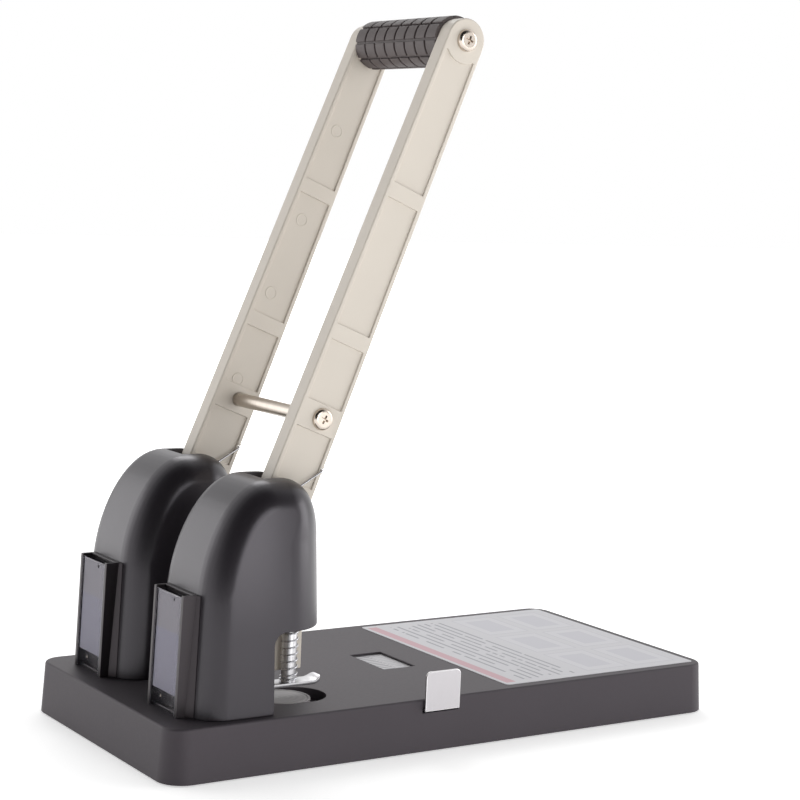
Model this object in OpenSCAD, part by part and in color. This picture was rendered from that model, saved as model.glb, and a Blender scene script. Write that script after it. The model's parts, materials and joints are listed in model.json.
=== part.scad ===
// Two-hole lever punch: a flat base, two punch towers and one double-armed lever.
// Origin: middle of the base on the table. +X runs from the towers to the paper end,
// +Z is up and the near tower stands at -Y. Millimetres throughout.

/* [Base] */
// Length of the base along the paper path
base_l = 310; // [290:1:340]
// How far the base's sides stand out from the tower covers
base_margin = 6; // [4:0.5:16]
// Height of the base's top face above the table
base_top = 25.3; // [24:0.1:32]
// How far each side leans in between the rim and the top
base_draft = 1.5; // [0.5:0.1:2.5]
// Radius of the base's upright corners
base_corner_r = 12; // [8:0.5:18]
// Rounding of the base's top edge
base_edge_r = 1.2; // [1:0.1:5]
// Thickness of the base's side walls
base_wall = 3; // [2:0.1:4]
// Thickness of the base's top wall
base_roof = 2; // [1.8:0.1:3]
// Thickness of the non-slip mat
mat_t = 1.6; // [1:0.1:3]
// Height of the rim's lower edge above the table
rim_gap = 0.6; // [0.3:0.1:1]
// Thickness of the steel bottom plate
bottom_t = 1.5; // [1:0.1:2.5]

/* [Towers] */
// Distance between the two punched holes
hole_pitch = 80; // [78:0.5:82]
// Place of the punch line, measured back from the middle of the base
pin_back = 77; // [70:0.5:84]
// Distance from the paper stop to the punch line
edge_margin = 12.5; // [11:0.5:13]
// Reach of the cover's nose ahead of the punch line
cover_nose = 9; // [8:0.5:12]
// Length of a cover from its nose to its back
cover_l = 68; // [64:1:74]
// Width of a cover at its foot
cover_w = 56; // [52:1:62]
// Height of a cover above the base
cover_h = 104.8; // [98:0.2:114]
// Wall of a cover
cover_wall = 2.5; // [2:0.1:3.5]
// Rounding between a cover's nose and its sides
cover_nose_r = 24; // [16:0.5:25]
// Rounding between a cover's back or crown and its sides
cover_back_r = 13; // [8:0.5:14]
// Lean of the cover's back, degrees from upright
back_lean = 3; // [2.4:0.1:4]
// Lean of the cover's nose, degrees from upright
nose_lean = 1.6; // [0:0.1:3]
// Lean of the cover's sides, degrees from upright
side_lean = 2.2; // [0:0.1:3]
// Height over which the back rounds into the top
back_shoulder = 54; // [40:1:65]
// Height over which the nose rounds into the top
nose_shoulder = 28; // [18:1:36]
// Width of the slot that the lever arm swings in
arm_slot_w = 18; // [17.6:0.1:20]
// Clear height above the base under the cover's overhang
throat_h = 37; // [36:0.5:40]
// Rounding of the inner corner of the throat
throat_r = 6; // [2:0.5:8]
// Depth of the throat behind the punch line
throat_depth = 23; // [21:0.5:26]

/* [Lever] */
// Height of the pivot above the base
pivot_h = 82; // [80:0.5:86]
// Distance from the pivot to the crank pin
crank_r = 18; // [17:0.5:19]
// Angle of the crank above level at rest
crank_up = 20; // [18:1:24]
// Swing of the lever from rest to fully down
lever_swing = 52; // [48:1:54]
// Lean of the arms at rest, degrees from upright
arm_lean = 22; // [20:0.5:24]
// Thickness of an arm
arm_t = 9; // [8:0.5:9.5]
// Place of the cross rod ahead of the pivot, square to the arm
rod_ahead = 8.4; // [7:0.2:10]
// Place of the cross rod above the pivot, along the arm
rod_up = 55.3; // [50:0.5:62]
// Distance from the cross rod to the grip
grip_reach = 191; // [170:1:210]
// Radius of the arm's round top end
arm_end_r = 10.4; // [10:0.2:12]
// How far the arm's back edge lies behind the pivot at the hub
arm_back = 6; // [4:0.2:8]
// Depth of the pockets cast into the arm's faces
pocket_depth = 1; // [0.4:0.1:1.6]
// Width of the ribs along the arm's edges
edge_rib = 2.2; // [1.4:0.1:3]
// Width of the ribs across the arm
cross_rib = 7.6; // [5:0.2:9]
// Radius of the cross rod
rod_r = 3.4; // [3:0.1:4]
// Radius of the rubber grip
grip_r = 12; // [11:0.2:13.5]
// Grooves around the grip
grip_rings = 7; // [5:1:9]
// Grooves along the grip
grip_flutes = 9; // [7:1:12]
// Width of the grip's grooves
groove_w = 1.2; // [0.8:0.1:1.6]

/* [Punches] */
// Radius of a punch pin
pin_r = 2.75; // [2.5:0.05:3]
// Thickness of a cutting disc
disc_t = 5; // [4.5:0.1:6]
// Radius of a cutting disc
disc_r = 13.2; // [12:0.1:14]
// How far the disc's middle lies behind the punch line
disc_back = 3; // [2:0.5:4]
// Gap under the pressure foot at rest
foot_gap = 5.3; // [5:0.1:6]
// Thickness of the pressure foot
foot_t = 1.8; // [1.5:0.1:2.2]
// Width of the pressure foot
foot_w = 9.2; // [9.2:0.1:9.4]
// Reach of the foot's flat part ahead of the punch line
foot_reach = 10; // [8:0.5:12]
// Travel of the pressure foot over a stack of paper
foot_lift = 9; // [6:0.5:9]
// Wire of the spring around the pin
pin_wire = 0.8; // [0.7:0.1:0.9]
// Turns of the spring around the pin
pin_turns = 11.5; // [8.5:1:11.5]

/* [Guide and boxes] */
// Width of the paper guide's tab
tab_w = 19.4; // [16:0.2:24]
// Height of the paper guide's tab
tab_h = 19; // [15:0.5:24]
// Place of the tab's middle, measured back from the middle of the base
tab_back = 12.7; // [10:0.5:16]
// Thickness of the guide's sheet steel
guide_t = 1.2; // [1:0.1:1.5]
// Travel of the paper guide
guide_travel = 53; // [30:1:53]
// Width of the index window
window_w = 18.2; // [14:0.2:20]
// Length of the index window
window_l = 32.6; // [24:0.2:34]
// Bare border of the base beside the printed sheet
sheet_border = 7; // [6.4:0.1:20]
// Length of the printed sheet on the base
sheet_l = 118.6; // [90:1:119]
// Width of a spares box
box_w = 29.2; // [25:0.2:32]
// Height of a spares box
box_h = 55; // [45:1:60]
// Depth of a spares box at its foot
box_d = 6.4; // [6.2:0.1:9]
// Lean of a spares box's front, degrees from upright
box_lean = 2.2; // [1:0.1:2.4]
// Wall of a spares box
box_wall = 1.4; // [1.2:0.1:1.8]
// Travel of the spares drawers
drawer_travel = 50; // [30:1:55]

/* [Hidden] */
$fn = 64;

// Colours of the finishes
charcoal = "#4b474a";
black_plastic = "#2b292b";
cream_paint = "#d3cbbf";
bright_steel = "#cfd0d4";
nickel = "#b9b6b0";
black_rubber = "#3a3637";
disc_grey = "#7d7a7b";
sheet_white = "#e2e2e6";
clear_plastic = "#b9b8c6";
bronze = "#b08a55";

// Clearances: running shaft, fixed seat, and the gap between parts that move apart
running = 0.05;
seat = 0.02;
apart = 0.3;

// Towers
tower_near = -hole_pitch / 2;
tower_far = hole_pitch / 2;
towers = [tower_near, tower_far];
base_w = hole_pitch + cover_w + 2 * base_margin;
pin_x = -pin_back;
stop_x = pin_x - edge_margin;
nose_x = pin_x + cover_nose;
back_x = nose_x - cover_l;
cover_top = base_top + cover_h;
throat_x = pin_x - throat_depth;
throat_z = base_top + throat_h;
crown_half = 4;
cover_rounds = 16;
cover_steps = 9;

// Pivot, crank and lever
pivot_x = pin_x - crank_r;
pivot_z = base_top + pivot_h;
crank_down = lever_swing - crank_up;
stroke = crank_r * (sin(crank_up) + sin(crank_down));
crank_x = pivot_x + crank_r * cos(crank_up);
crank_z = pivot_z + crank_r * sin(crank_up);
crank_drift = crank_r * (1 - cos(max(crank_up, crank_down)));
crank_pin_r = 3;
crank_boss_r = 5.5;
hub_r = 11;
hub_boss_r = 5.4;
pivot_bush_r = 4.8;
axle_r = 4;
clip_t = 1;
clip_rim = 2.6;
clip_bite = 0.6;
clip_play = 0.1;
grip_up = rod_up + grip_reach;
arm_gap = arm_t / 2;
arm_out = hole_pitch / 2 + arm_gap;
arm_in = hole_pitch / 2 - arm_gap;
socket_depth = 3;
screw_head_h = 2.4;
screw_r = 2;
rod_screw_head_r = 5.2;
grip_screw_head_r = 5.3;
grip_core_r = 5;

// Punch frame: column with a groove, head with cheeks, and a nose wall beside the pin
cheek_in = arm_gap + 4.2;
cheek_t = 3.4;
cheek_out = cheek_in + cheek_t;
column_half = 8;
column_back = back_x + 12;
groove_half = foot_w / 2 + apart;
groove_back = stop_x - 13.5;
head_bottom = throat_z + cover_wall + 0.5;
head_drop = 10.8;
head_floor = 4;
head_top = pivot_z - crank_r * sin(crank_down) - head_drop - head_floor - 1;
nose_wall_bottom = base_top + 11.1;
bush_r = 5.5;
flange_t = 5;
cover_boss_r = 3.2;
cover_screw_y = cover_w / 2 - cover_boss_r - 4;
flange_half = cover_screw_y - cover_boss_r - 2 * apart;
flange_back = back_x + 13;
flange_front = throat_x - 4;
bolt_x = (flange_back + flange_front) / 2;
bolt_r = 3;
bolt_head_r = 5;
bolt_y = flange_half - 1.5 * bolt_r;
bolt_head_h = 4;
bolt_pad = 6;
cover_screw_x = throat_x - 4.5;
cover_screw_r = 1.5;
cover_boss_h = 14;

// Punch, foot and disc
disc_top = base_top - 0.2;
disc_x = pin_x - disc_back;
seat_floor = disc_top - disc_t - running;
tip_z = disc_top + apart + stroke;
foot_z = base_top + foot_gap;
foot_top = foot_z + foot_t;
sleeve_r = pin_r + apart + 0.4;
sleeve_top = head_bottom - foot_lift - 2 * apart;
tongue_x = groove_back + 2;
stop_z = foot_top + foot_lift + 4.4;
stop_r = 2;
stop_head_r = 3.4;
tongue_top = stop_z + 6;
ear_in = arm_gap + 0.4;
ear_out = cheek_in - 0.6;
ear_rise = 4.8;
crank_slot_play = 0.55;

// Springs
pin_spring_steps = 12;
pin_spring_r = (sleeve_r + 0.15 + pin_wire / 2) / cos(180 / pin_spring_steps);
pin_spring_flare = 0.2;
pin_spring_low = foot_top + seat;
pin_spring_high = head_bottom - seat;
end_turns = 1.5;
end_pitch = pin_wire + 0.7;
return_wire = 0.9;
return_r = (hub_boss_r + 0.2 + return_wire / 2) / cos(22.5);
return_pitch = return_wire + 0.45;
return_leg_angle = 29.4;
return_turn = 720 + 180 - (return_leg_angle + 90);
return_y = arm_gap + 0.2 + return_wire / 2;

// Guide
strip_z = base_top - 5.6;
window_x = 1.1;
strip_back = -tab_back - tab_w / 2;
strip_front = window_x + window_w / 2 + 1.2;
strip_end = base_w / 2 - base_wall - base_draft - 3;
wall_y = base_w / 2 - base_draft * (strip_z / base_top);
tab_y = -base_w / 2 - 0.6;
wing_y = -wall_y + base_wall + 2.2 + guide_travel;
scale_groove = 1;
scale_t = base_top - base_roof + scale_groove - apart - strip_z - guide_t;
scale_w = window_w + 1.6;
scale_near = max(wing_y + 0.5, -window_l / 2 - 1);
scale_far = strip_end - 2;
channel_t = 1;
channel_back = strip_back - apart;
channel_front = strip_front + apart;
channel_near = -base_w / 2 + base_wall + base_draft + 2;
flange_w = 10;
guide_screw_y = (strip_end - channel_near) * 0.3;

// Fixed offsets inside the base
cavity_l = base_l - 2 * (base_wall + base_draft);
cavity_w = base_w - 2 * (base_wall + base_draft);
cavity_r = base_corner_r - base_wall;
cavity_top = base_top - base_roof;
bottom_z = mat_t + bottom_t;
post_x = cavity_l / 2 - 9;
post_y = cavity_w / 2 - 9;
posts = [for (x = [-post_x, 30, post_x]) for (y = [-post_y, post_y]) [x, y]];
post_r = 4.5;
base_screw_r = 1.6;
base_screw_head_r = 3.4;

// Spares boxes, with depths measured in from the box's front
box_x = back_x - box_d;
box_lip = 0.7;
box_lip_w = 0.9;
rivet_y = box_w / 2 - 3.2;
rivet_z = 4;
rivet_r = 0.9;
rivet_head_r = 1.5;
rivet_head_h = 0.6;
drawer_wall = 0.9;
drawer_front = box_lip + apart;
drawer_back = box_d - box_wall - rivet_head_h - apart;
drawer_half = box_w / 2 - box_wall - apart;
drawer_low = box_wall + 2 * apart;
panel_half = box_w / 2 - box_wall - box_lip_w - apart;
panel_low = 0.4;
panel_t = 0.7;
card_rest = 7;
card_t = 0.3;
card_half = panel_half - 0.3;
hole_y = -0.36 * panel_half;
hole_down = 2.3;
box_flare_d = 2.2;
box_flare_w = 4;

// Straight-sided rounded rectangle, drawn with true arcs
module rounded_rect(l, w, r) {
    square([l - 2 * r, w], center = true);
    square([l, w - 2 * r], center = true);
    for (x = [-1, 1], y = [-1, 1])
        translate([x * (l / 2 - r), y * (w / 2 - r)])
            circle(r);
}

// Outline around a ring of circles [x, y, r] listed anticlockwise, drawn with true arcs
function tangent(a, b) =
    let (gap = [b[0] - a[0], b[1] - a[1]],
         turn = atan2(gap[1], gap[0]) - 90 + asin((a[2] - b[2]) / norm(gap)),
         out = [cos(turn), sin(turn)])
    [[a[0], a[1]] + a[2] * out, [b[0], b[1]] + b[2] * out];

module belt(circles) {
    count = len(circles);
    polygon([for (i = [0 : count - 1]) each tangent(circles[i], circles[(i + 1) % count])]);
    for (c = circles)
        translate([c[0], c[1]])
            circle(c[2]);
}

// Pan-head screw along +Z with its head's underside at the origin and its shank below
module pan_screw(head_r, head_h, shank_r, shank_l) {
    cylinder(r1 = head_r, r2 = head_r * 0.72, h = head_h);
    translate([0, 0, -shank_l])
        cylinder(r = shank_r, h = shank_l + head_h / 2);
}

// Turns a shape drawn with X ahead and Y up into the upright XZ plane, centred on Y = 0
module upright(t) {
    rotate([90, 0, 0])
        linear_extrude(t, center = true)
            children();
}

// Moves shapes drawn around the pivot, X square to the arm and Z along it, to the lever at rest
module at_lever() {
    translate([pivot_x, 0, pivot_z])
        rotate([0, arm_lean, 0])
            children();
}

// Base

module base_corner() {
    top_r = base_corner_r - base_draft;
    translate([0, 0, rim_gap])
        cylinder(r = base_corner_r, h = 0.01, $fn = 32);
    translate([0, 0, base_top - base_edge_r])
        rotate_extrude($fn = 32)
            translate([top_r - base_edge_r, 0])
                circle(base_edge_r, $fn = 24);
}

module base_body() {
    hull()
        for (x = [-1, 1], y = [-1, 1])
            translate([x * (base_l / 2 - base_corner_r), y * (base_w / 2 - base_corner_r), 0])
                base_corner();
}

module disc_well(grow, floor_z) {
    finger_r = disc_r + 0.5;
    for (y = towers)
        translate([disc_x, y, floor_z]) {
            cylinder(r = disc_r + 0.2 + grow, h = base_top - floor_z + 1);
            translate([disc_back + 5, 0, 0])
                cylinder(r = finger_r + grow, h = base_top - floor_z + 1);
        }
}

module bolt_places() {
    for (y = towers, side = [-1, 1])
        translate([bolt_x, y + side * bolt_y, 0])
            children();
}

module cover_screw_places() {
    for (y = towers, side = [-1, 1])
        translate([cover_screw_x, y + side * cover_screw_y, 0])
            children();
}

module guide_screw_places() {
    for (x = [channel_back - flange_w / 2, channel_front + flange_w / 2], side = [-1, 1])
        translate([x, side * guide_screw_y, 0])
            children();
}

module base_shell() {
    color(charcoal)
    difference() {
        union() {
            difference() {
                base_body();
                translate([0, 0, -1])
                    linear_extrude(cavity_top + 1)
                        rounded_rect(cavity_l, cavity_w, cavity_r);
            }
            intersection() {
                disc_well(base_wall, seat_floor - base_roof);
                translate([-base_l / 2, -base_w / 2, 0])
                    cube([base_l, base_w, cavity_top + base_roof / 2]);
            }
            for (p = posts)
                translate([p[0], p[1], bottom_z])
                    cylinder(r = post_r, h = cavity_top - bottom_z + base_roof / 2);
            bolt_places()
                translate([0, 0, cavity_top - bolt_pad])
                    cylinder(r = bolt_head_r + 3, h = bolt_pad + base_roof / 2);
        }
        disc_well(0, seat_floor);
        translate([window_x, 0, base_top])
            cube([window_w, window_l, 3 * base_roof], center = true);
        translate([window_x - scale_w / 2 - apart, scale_near - guide_travel - apart, cavity_top - 1])
            cube([scale_w + 2 * apart, scale_far - scale_near + guide_travel + 2 * apart, 1 + scale_groove]);
        translate([strip_back - apart, -base_w / 2 - 1, strip_z - 1])
            cube([tab_w + 2 * apart, base_wall + base_draft + 3, guide_t + 1 + apart]);
        for (p = posts)
            translate([p[0], p[1], bottom_z - 1])
                cylinder(r = base_screw_r + seat, h = 11);
        bolt_places()
            translate([0, 0, cavity_top - bolt_pad - 1])
                cylinder(r = bolt_r + seat, h = bolt_pad + base_roof + 2);
        cover_screw_places()
            translate([0, 0, cavity_top - 1])
                cylinder(r = cover_screw_r + seat, h = base_roof + 2);
        guide_screw_places()
            translate([0, 0, cavity_top - 1])
                cylinder(r = base_screw_r + seat, h = 2.4);
    }
}

module bottom_plate() {
    color(nickel)
    translate([0, 0, mat_t])
        difference() {
            linear_extrude(bottom_t)
                rounded_rect(cavity_l - 2 * apart, cavity_w - 2 * apart, cavity_r - apart);
            for (p = posts)
                translate([p[0], p[1], -1])
                    cylinder(r = base_screw_r + seat, h = bottom_t + 2);
        }
}

module base_screws() {
    color(bright_steel)
    for (p = posts)
        translate([p[0], p[1], mat_t])
            rotate([180, 0, 0])
                pan_screw(base_screw_head_r, mat_t * 0.6, base_screw_r, bottom_t + 8);
}

module rubber_mat() {
    color(black_rubber)
    difference() {
        linear_extrude(mat_t)
            rounded_rect(cavity_l - 2 * apart, cavity_w - 2 * apart, cavity_r - apart);
        for (p = posts)
            translate([p[0], p[1], -1])
                cylinder(r = base_screw_head_r + 0.6, h = mat_t + 2);
    }
}

module printed_sheet() {
    sheet_t = 0.2;
    sheet_corner_r = 2;
    sheet_end = max(6.4, base_draft + base_edge_r + 0.9);
    color(sheet_white)
    translate([base_l / 2 - sheet_end - sheet_l / 2, 0, base_top])
        linear_extrude(sheet_t)
            rounded_rect(sheet_l, base_w - 2 * sheet_border, sheet_corner_r);
}

// Paper guide

module guide_channel() {
    floor_z = strip_z - apart - channel_t;
    length = strip_end - channel_near;
    color(nickel)
    difference() {
        union() {
            translate([channel_back - channel_t, channel_near, floor_z])
                cube([channel_front - channel_back + 2 * channel_t, length, channel_t]);
            for (x = [channel_back - channel_t, channel_front])
                translate([x, channel_near, floor_z])
                    cube([channel_t, length, cavity_top - floor_z]);
            for (x = [channel_back - flange_w, channel_front])
                translate([x, channel_near, cavity_top - channel_t])
                    cube([flange_w, length, channel_t]);
        }
        guide_screw_places()
            translate([0, 0, cavity_top - channel_t - 1])
                cylinder(r = base_screw_r + seat, h = channel_t + 2);
    }
}

module guide_screws() {
    color(bright_steel)
    guide_screw_places()
        translate([0, 0, cavity_top - channel_t])
            rotate([180, 0, 0])
                pan_screw(base_screw_head_r, 1.6, base_screw_r, channel_t + 1.2);
}

// Sliding strip with a wide scale wing inside the base and a turned-up tab outside
module paper_guide() {
    tab_r = 2.5;
    color(bright_steel) {
        translate([strip_back, tab_y, strip_z])
            cube([tab_w, strip_end - tab_y - 1, guide_t]);
        translate([strip_back, wing_y, strip_z])
            cube([strip_front - strip_back, strip_end - wing_y - 1, guide_t]);
        translate([-tab_back, tab_y + guide_t / 2, strip_z])
            upright(guide_t) {
                translate([-tab_w / 2, 0])
                    square([tab_w, tab_h - tab_r]);
                translate([-tab_w / 2 + tab_r, 0])
                    square([tab_w - 2 * tab_r, tab_h]);
                for (side = [-1, 1])
                    translate([side * (tab_w / 2 - tab_r), tab_h - tab_r])
                        circle(tab_r);
            }
    }
}

module guide_scale() {
    color(sheet_white)
    translate([window_x - scale_w / 2, scale_near, strip_z + guide_t])
        cube([scale_w, scale_far - scale_near, scale_t]);
}

// Punch frames

module frame_side() {
    translate([column_back, head_bottom])
        square([pin_x - 7 - column_back, head_top - head_bottom]);
    polygon([
        [column_back, head_bottom],
        [pin_x - 7, head_bottom],
        [pin_x - 7, head_top],
        [pivot_x + 10, pivot_z],
        [pivot_x - 10, pivot_z],
        [column_back, head_top + 10]
    ]);
    translate([pivot_x, pivot_z])
        circle(10);
}

module punch_frame(y) {
    inward = y < 0 ? 1 : -1;
    nose_t = column_half - groove_half;
    color(cream_paint)
    translate([0, y, 0])
        difference() {
            union() {
                translate([flange_back, -flange_half, base_top])
                    cube([flange_front - flange_back, 2 * flange_half, flange_t]);
                translate([column_back, -column_half, base_top])
                    cube([stop_x - column_back, 2 * column_half, head_bottom - base_top + 1]);
                translate([stop_x - 1, inward * (groove_half + nose_t / 2) - nose_t / 2, nose_wall_bottom])
                    cube([nose_x + 0.5 - stop_x + 1, nose_t, head_bottom - nose_wall_bottom + 1]);
                translate([column_back, -cheek_out, head_bottom])
                    cube([pin_x - 7 - column_back, 2 * cheek_out, head_top - head_bottom]);
                translate([pin_x - 8, -column_half, head_bottom])
                    cube([8 + bush_r + 1, 2 * column_half, head_top - head_bottom]);
                upright(2 * cheek_out)
                    frame_side();
            }
            translate([column_back + 14, -cheek_in, head_top])
                cube([cover_l, 2 * cheek_in, cover_h]);
            translate([groove_back, -groove_half, base_top - 1])
                cube([stop_x - groove_back + 1, 2 * groove_half, head_bottom - base_top - 1]);
            translate([pin_x, 0, head_bottom - 1])
                cylinder(r = bush_r + seat, h = head_top - head_bottom + 2);
            translate([pivot_x, 0, pivot_z])
                rotate([90, 0, 0])
                    cylinder(r = axle_r + seat, h = 2 * cheek_out + 2, center = true);
            translate([groove_back - 8, 0, stop_z])
                rotate([0, 90, 0])
                    cylinder(r = stop_r + seat, h = 9);
            for (side = [-1, 1])
                translate([bolt_x, side * bolt_y, base_top - 1])
                    cylinder(r = bolt_r + seat, h = flange_t + 2);
        }
}

module frame_bolts() {
    color(nickel)
    bolt_places()
        translate([0, 0, cavity_top - bolt_pad]) {
            cylinder(r = bolt_r, h = bolt_pad + base_roof + flange_t);
            translate([0, 0, -bolt_head_h])
                cylinder(r = bolt_head_r, h = bolt_head_h, $fn = 6);
        }
}

// Tower covers

// Share of the way to the crown at height z, round as a quarter ellipse over the last stretch
function eased(z, stretch) =
    let (rise = (z - cover_top + stretch) / stretch)
    rise <= 0 ? 0 : 1 - sqrt(max(0, 1 - rise * rise));

function toward(from, to, share) = from + (to - from) * share;

// Side view of a cover as [x, z], from the foot of its back over the crown to the foot of its nose
function back_line(z) =
    toward(back_x + (z - base_top) * tan(back_lean), pivot_x - crown_half, eased(z, back_shoulder));

function nose_line(z) =
    toward(nose_x + (throat_z - z) * tan(nose_lean), pivot_x + crown_half, eased(z, nose_shoulder));

function climb(stretch, i) = cover_top - stretch * (1 - sin(90 * i / cover_rounds));

cover_side = concat(
    [[back_line(base_top), base_top]],
    [for (i = [0 : cover_rounds]) let (z = climb(back_shoulder, i)) [back_line(z), z]],
    [for (i = [cover_rounds : -1 : 0]) let (z = climb(nose_shoulder, i)) [nose_line(z), z]],
    [[nose_line(base_top), base_top]]);
cover_foot = len(cover_side) - 1;

// Way out of the cover at a point of its side view, level at both feet
function cover_out(i) =
    i == 0 ? [-1, 0] : i == cover_foot ? [1, 0]
    : let (along = cover_side[i + 1] - cover_side[i - 1]) unit([-along[1], along[0]]);

// Rounding between the cover's side and its back, crown or nose, growing softly towards the nose
function soft(share) = 0.8 * sin(90 * share) + 0.2 * share;

function cover_edge_r(i) =
    i <= cover_rounds + 1 ? cover_back_r
    : toward(cover_back_r, cover_nose_r, soft(min(1, (cover_top - cover_side[i][1]) / nose_shoulder)));

// Points across the cover at one point of its side view, drawn in by the wall for its inside
function cover_section(i, inset, drop) =
    let (point = cover_side[i], out = cover_out(i), r = cover_edge_r(i) - inset,
         foot = i == 0 || i == cover_foot)
    [for (side = [1, -1]) for (step = [0 : cover_steps])
        let (turn = 90 * (side > 0 ? 1 - step / cover_steps : step / cover_steps),
             deep = inset + r * (1 - cos(turn)),
             z = foot ? base_top - drop : point[1] - out[1] * deep,
             half = cover_w / 2 - (z - base_top) * tan(side_lean) - inset - r * (1 - sin(turn)))
        [point[0] - out[0] * deep, side * half, z]];

module cover_solid(inset, drop) {
    across = 2 * (cover_steps + 1);
    points = [for (i = [0 : cover_foot]) each cover_section(i, inset, drop)];
    skin = [for (i = [0 : cover_foot - 1]) for (k = [0 : across - 2])
        let (a = i * across + k)
        each [[a, a + across, a + across + 1], [a, a + across + 1, a + 1]]];
    sides = [
        [for (i = [cover_foot : -1 : 0]) i * across],
        [for (i = [0 : cover_foot]) i * across + across - 1]
    ];
    floor_face = [concat(
        [for (k = [0 : across - 1]) k],
        [for (k = [across - 1 : -1 : 0]) cover_foot * across + k])];
    polyhedron(points, concat(skin, sides, floor_face));
}

// Space that the paper enters, grown by the wall to leave the throat's own lining
module throat(grow) {
    back = throat_x - grow;
    top = throat_h + grow;
    translate([0, 0, base_top])
        upright(cover_w + 2) {
            translate([back + throat_r, -1])
                square([cover_l, top + 1]);
            translate([back, -1])
                square([cover_l, top + 1 - throat_r]);
            translate([back + throat_r, top - throat_r])
                circle(throat_r);
        }
}

module tower_cover(y) {
    color(charcoal)
    translate([0, y, 0]) {
        difference() {
            cover_solid(0, 0);
            difference() {
                cover_solid(cover_wall, 1);
                throat(cover_wall);
            }
            throat(0);
            translate([pivot_x - crown_half, -arm_slot_w / 2, throat_z - 1])
                cube([cover_l, arm_slot_w, cover_h]);
            translate([throat_x - cover_wall - 1, -column_half - apart, base_top - 1])
                cube([cover_l, 2 * (column_half + apart), throat_h + cover_wall + 2]);
            at_box(0)
                rivet_places()
                    rotate([0, 90, 0])
                        cylinder(r = rivet_r + seat, h = 30, center = true);
        }
        for (side = [-1, 1])
            translate([cover_screw_x, side * cover_screw_y, base_top])
                difference() {
                    cylinder(r = cover_boss_r, h = cover_boss_h);
                    translate([0, 0, -1])
                        cylinder(r = cover_screw_r + seat, h = cover_boss_h - 2);
                }
    }
}

module cover_screws() {
    color(bright_steel)
    cover_screw_places()
        translate([0, 0, cavity_top])
            rotate([180, 0, 0])
                pan_screw(cover_boss_r, 2, cover_screw_r, base_roof + cover_boss_h - 4);
}

// Spares boxes, drawn leaning with the box's front at X = 0 and the tower at +X

module at_box(y) {
    translate([box_x, y, base_top])
        rotate([0, box_lean, 0])
            children();
}

module rivet_places() {
    for (side = [-1, 1])
        translate([0, side * rivet_y, rivet_z])
            children();
}

// Flare that carries one side of a holder into the tower's round back corner
module box_flare(side) {
    half = box_w / 2;
    corner_y = cover_w / 2 - cover_back_r;
    tip_y = half + box_flare_w;
    tip_x = cover_back_r - sqrt(pow(cover_back_r, 2) - pow(tip_y - corner_y, 2));
    gap = 3 * seat;
    translate([back_x, 0, base_top])
        rotate([side * side_lean, back_lean, 0])
            translate([0, 0, -3])
                linear_extrude(box_h + 6)
                    difference() {
                        polygon([
                            [-box_flare_d, side * (half - box_wall)], [-box_flare_d, side * half],
                            [tip_x, side * tip_y], [tip_x + 1, side * tip_y],
                            [tip_x + 1, side * (half - box_wall)]
                        ]);
                        translate([cover_back_r, side * corner_y])
                            circle(cover_back_r + gap);
                        translate([cover_back_r - gap, 0])
                            square([2 * cover_back_r, 2 * corner_y], center = true);
                    }
}

module spares_holder(y) {
    half = box_w / 2;
    top = base_top + box_h;
    color(black_plastic)
    difference() {
        translate([0, y, 0]) {
            upright(box_w)
                polygon([
                    [box_x, base_top],
                    [back_x - seat, base_top],
                    [back_x - seat + box_h * tan(back_lean), top],
                    [box_x + box_h * tan(box_lean), top]
                ]);
            intersection() {
                for (side = [-1, 1])
                    box_flare(side);
                translate([box_x, -box_w, base_top])
                    cube([3 * box_d, 2 * box_w, box_h]);
            }
        }
        at_box(y) {
            translate([box_lip, -half + box_wall, box_wall])
                cube([box_d - box_wall - box_lip, box_w - 2 * box_wall, 2 * box_h]);
            translate([-1, -half + box_wall + box_lip_w, -1])
                cube([1 + drawer_front + drawer_wall + apart, box_w - 2 * (box_wall + box_lip_w), 2 * box_h]);
            rivet_places()
                rotate([0, 90, 0])
                    cylinder(r = rivet_r + seat, h = 30, center = true);
        }
    }
}

module holder_rivets() {
    head_x = box_d - box_wall - rivet_head_h;
    color(bright_steel)
    for (y = towers)
        at_box(y)
            rivet_places() {
                translate([head_x, 0, 0])
                    rotate([0, 90, 0])
                        cylinder(r1 = rivet_head_r * 0.7, r2 = rivet_head_r, h = rivet_head_h);
                translate([head_x + rivet_head_h / 2, 0, 0])
                    rotate([0, 90, 0])
                        cylinder(r = rivet_r, h = rivet_head_h / 2 + box_wall + cover_wall);
            }
}

// Clear open-topped drawer: a flush front panel with a pull across its top, and a ledge for its card
module spares_drawer(y) {
    depth = drawer_back - drawer_front;
    height = box_h - drawer_low - 1;
    pull_half = panel_half - 3;
    color(clear_plastic)
    at_box(y)
        difference() {
            union() {
                translate([drawer_front, -drawer_half, drawer_low])
                    cube([depth, 2 * drawer_half, height]);
                translate([0.1, -panel_half, panel_low])
                    cube([drawer_front + drawer_wall - 0.1, 2 * panel_half, drawer_low + height - panel_low]);
                translate([-0.7, -pull_half, drawer_low + height - 1.4])
                    cube([drawer_front, 2 * pull_half, 1.4]);
            }
            difference() {
                translate([drawer_front + drawer_wall, -drawer_half + drawer_wall, drawer_low + drawer_wall])
                    cube([depth - 2 * drawer_wall, 2 * (drawer_half - drawer_wall), height]);
                translate([drawer_front, -drawer_half, drawer_low + card_rest - 1])
                    cube([depth, 2 * drawer_half, 1]);
            }
            translate([panel_t + 0.1, -card_half, drawer_low + card_rest])
                cube([drawer_front + drawer_wall, 2 * card_half, height]);
            translate([0, hole_y, drawer_low + height - hole_down])
                rotate([0, 90, 0])
                    cylinder(r = 0.8, h = 4 * drawer_wall, center = true);
        }
}

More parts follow.
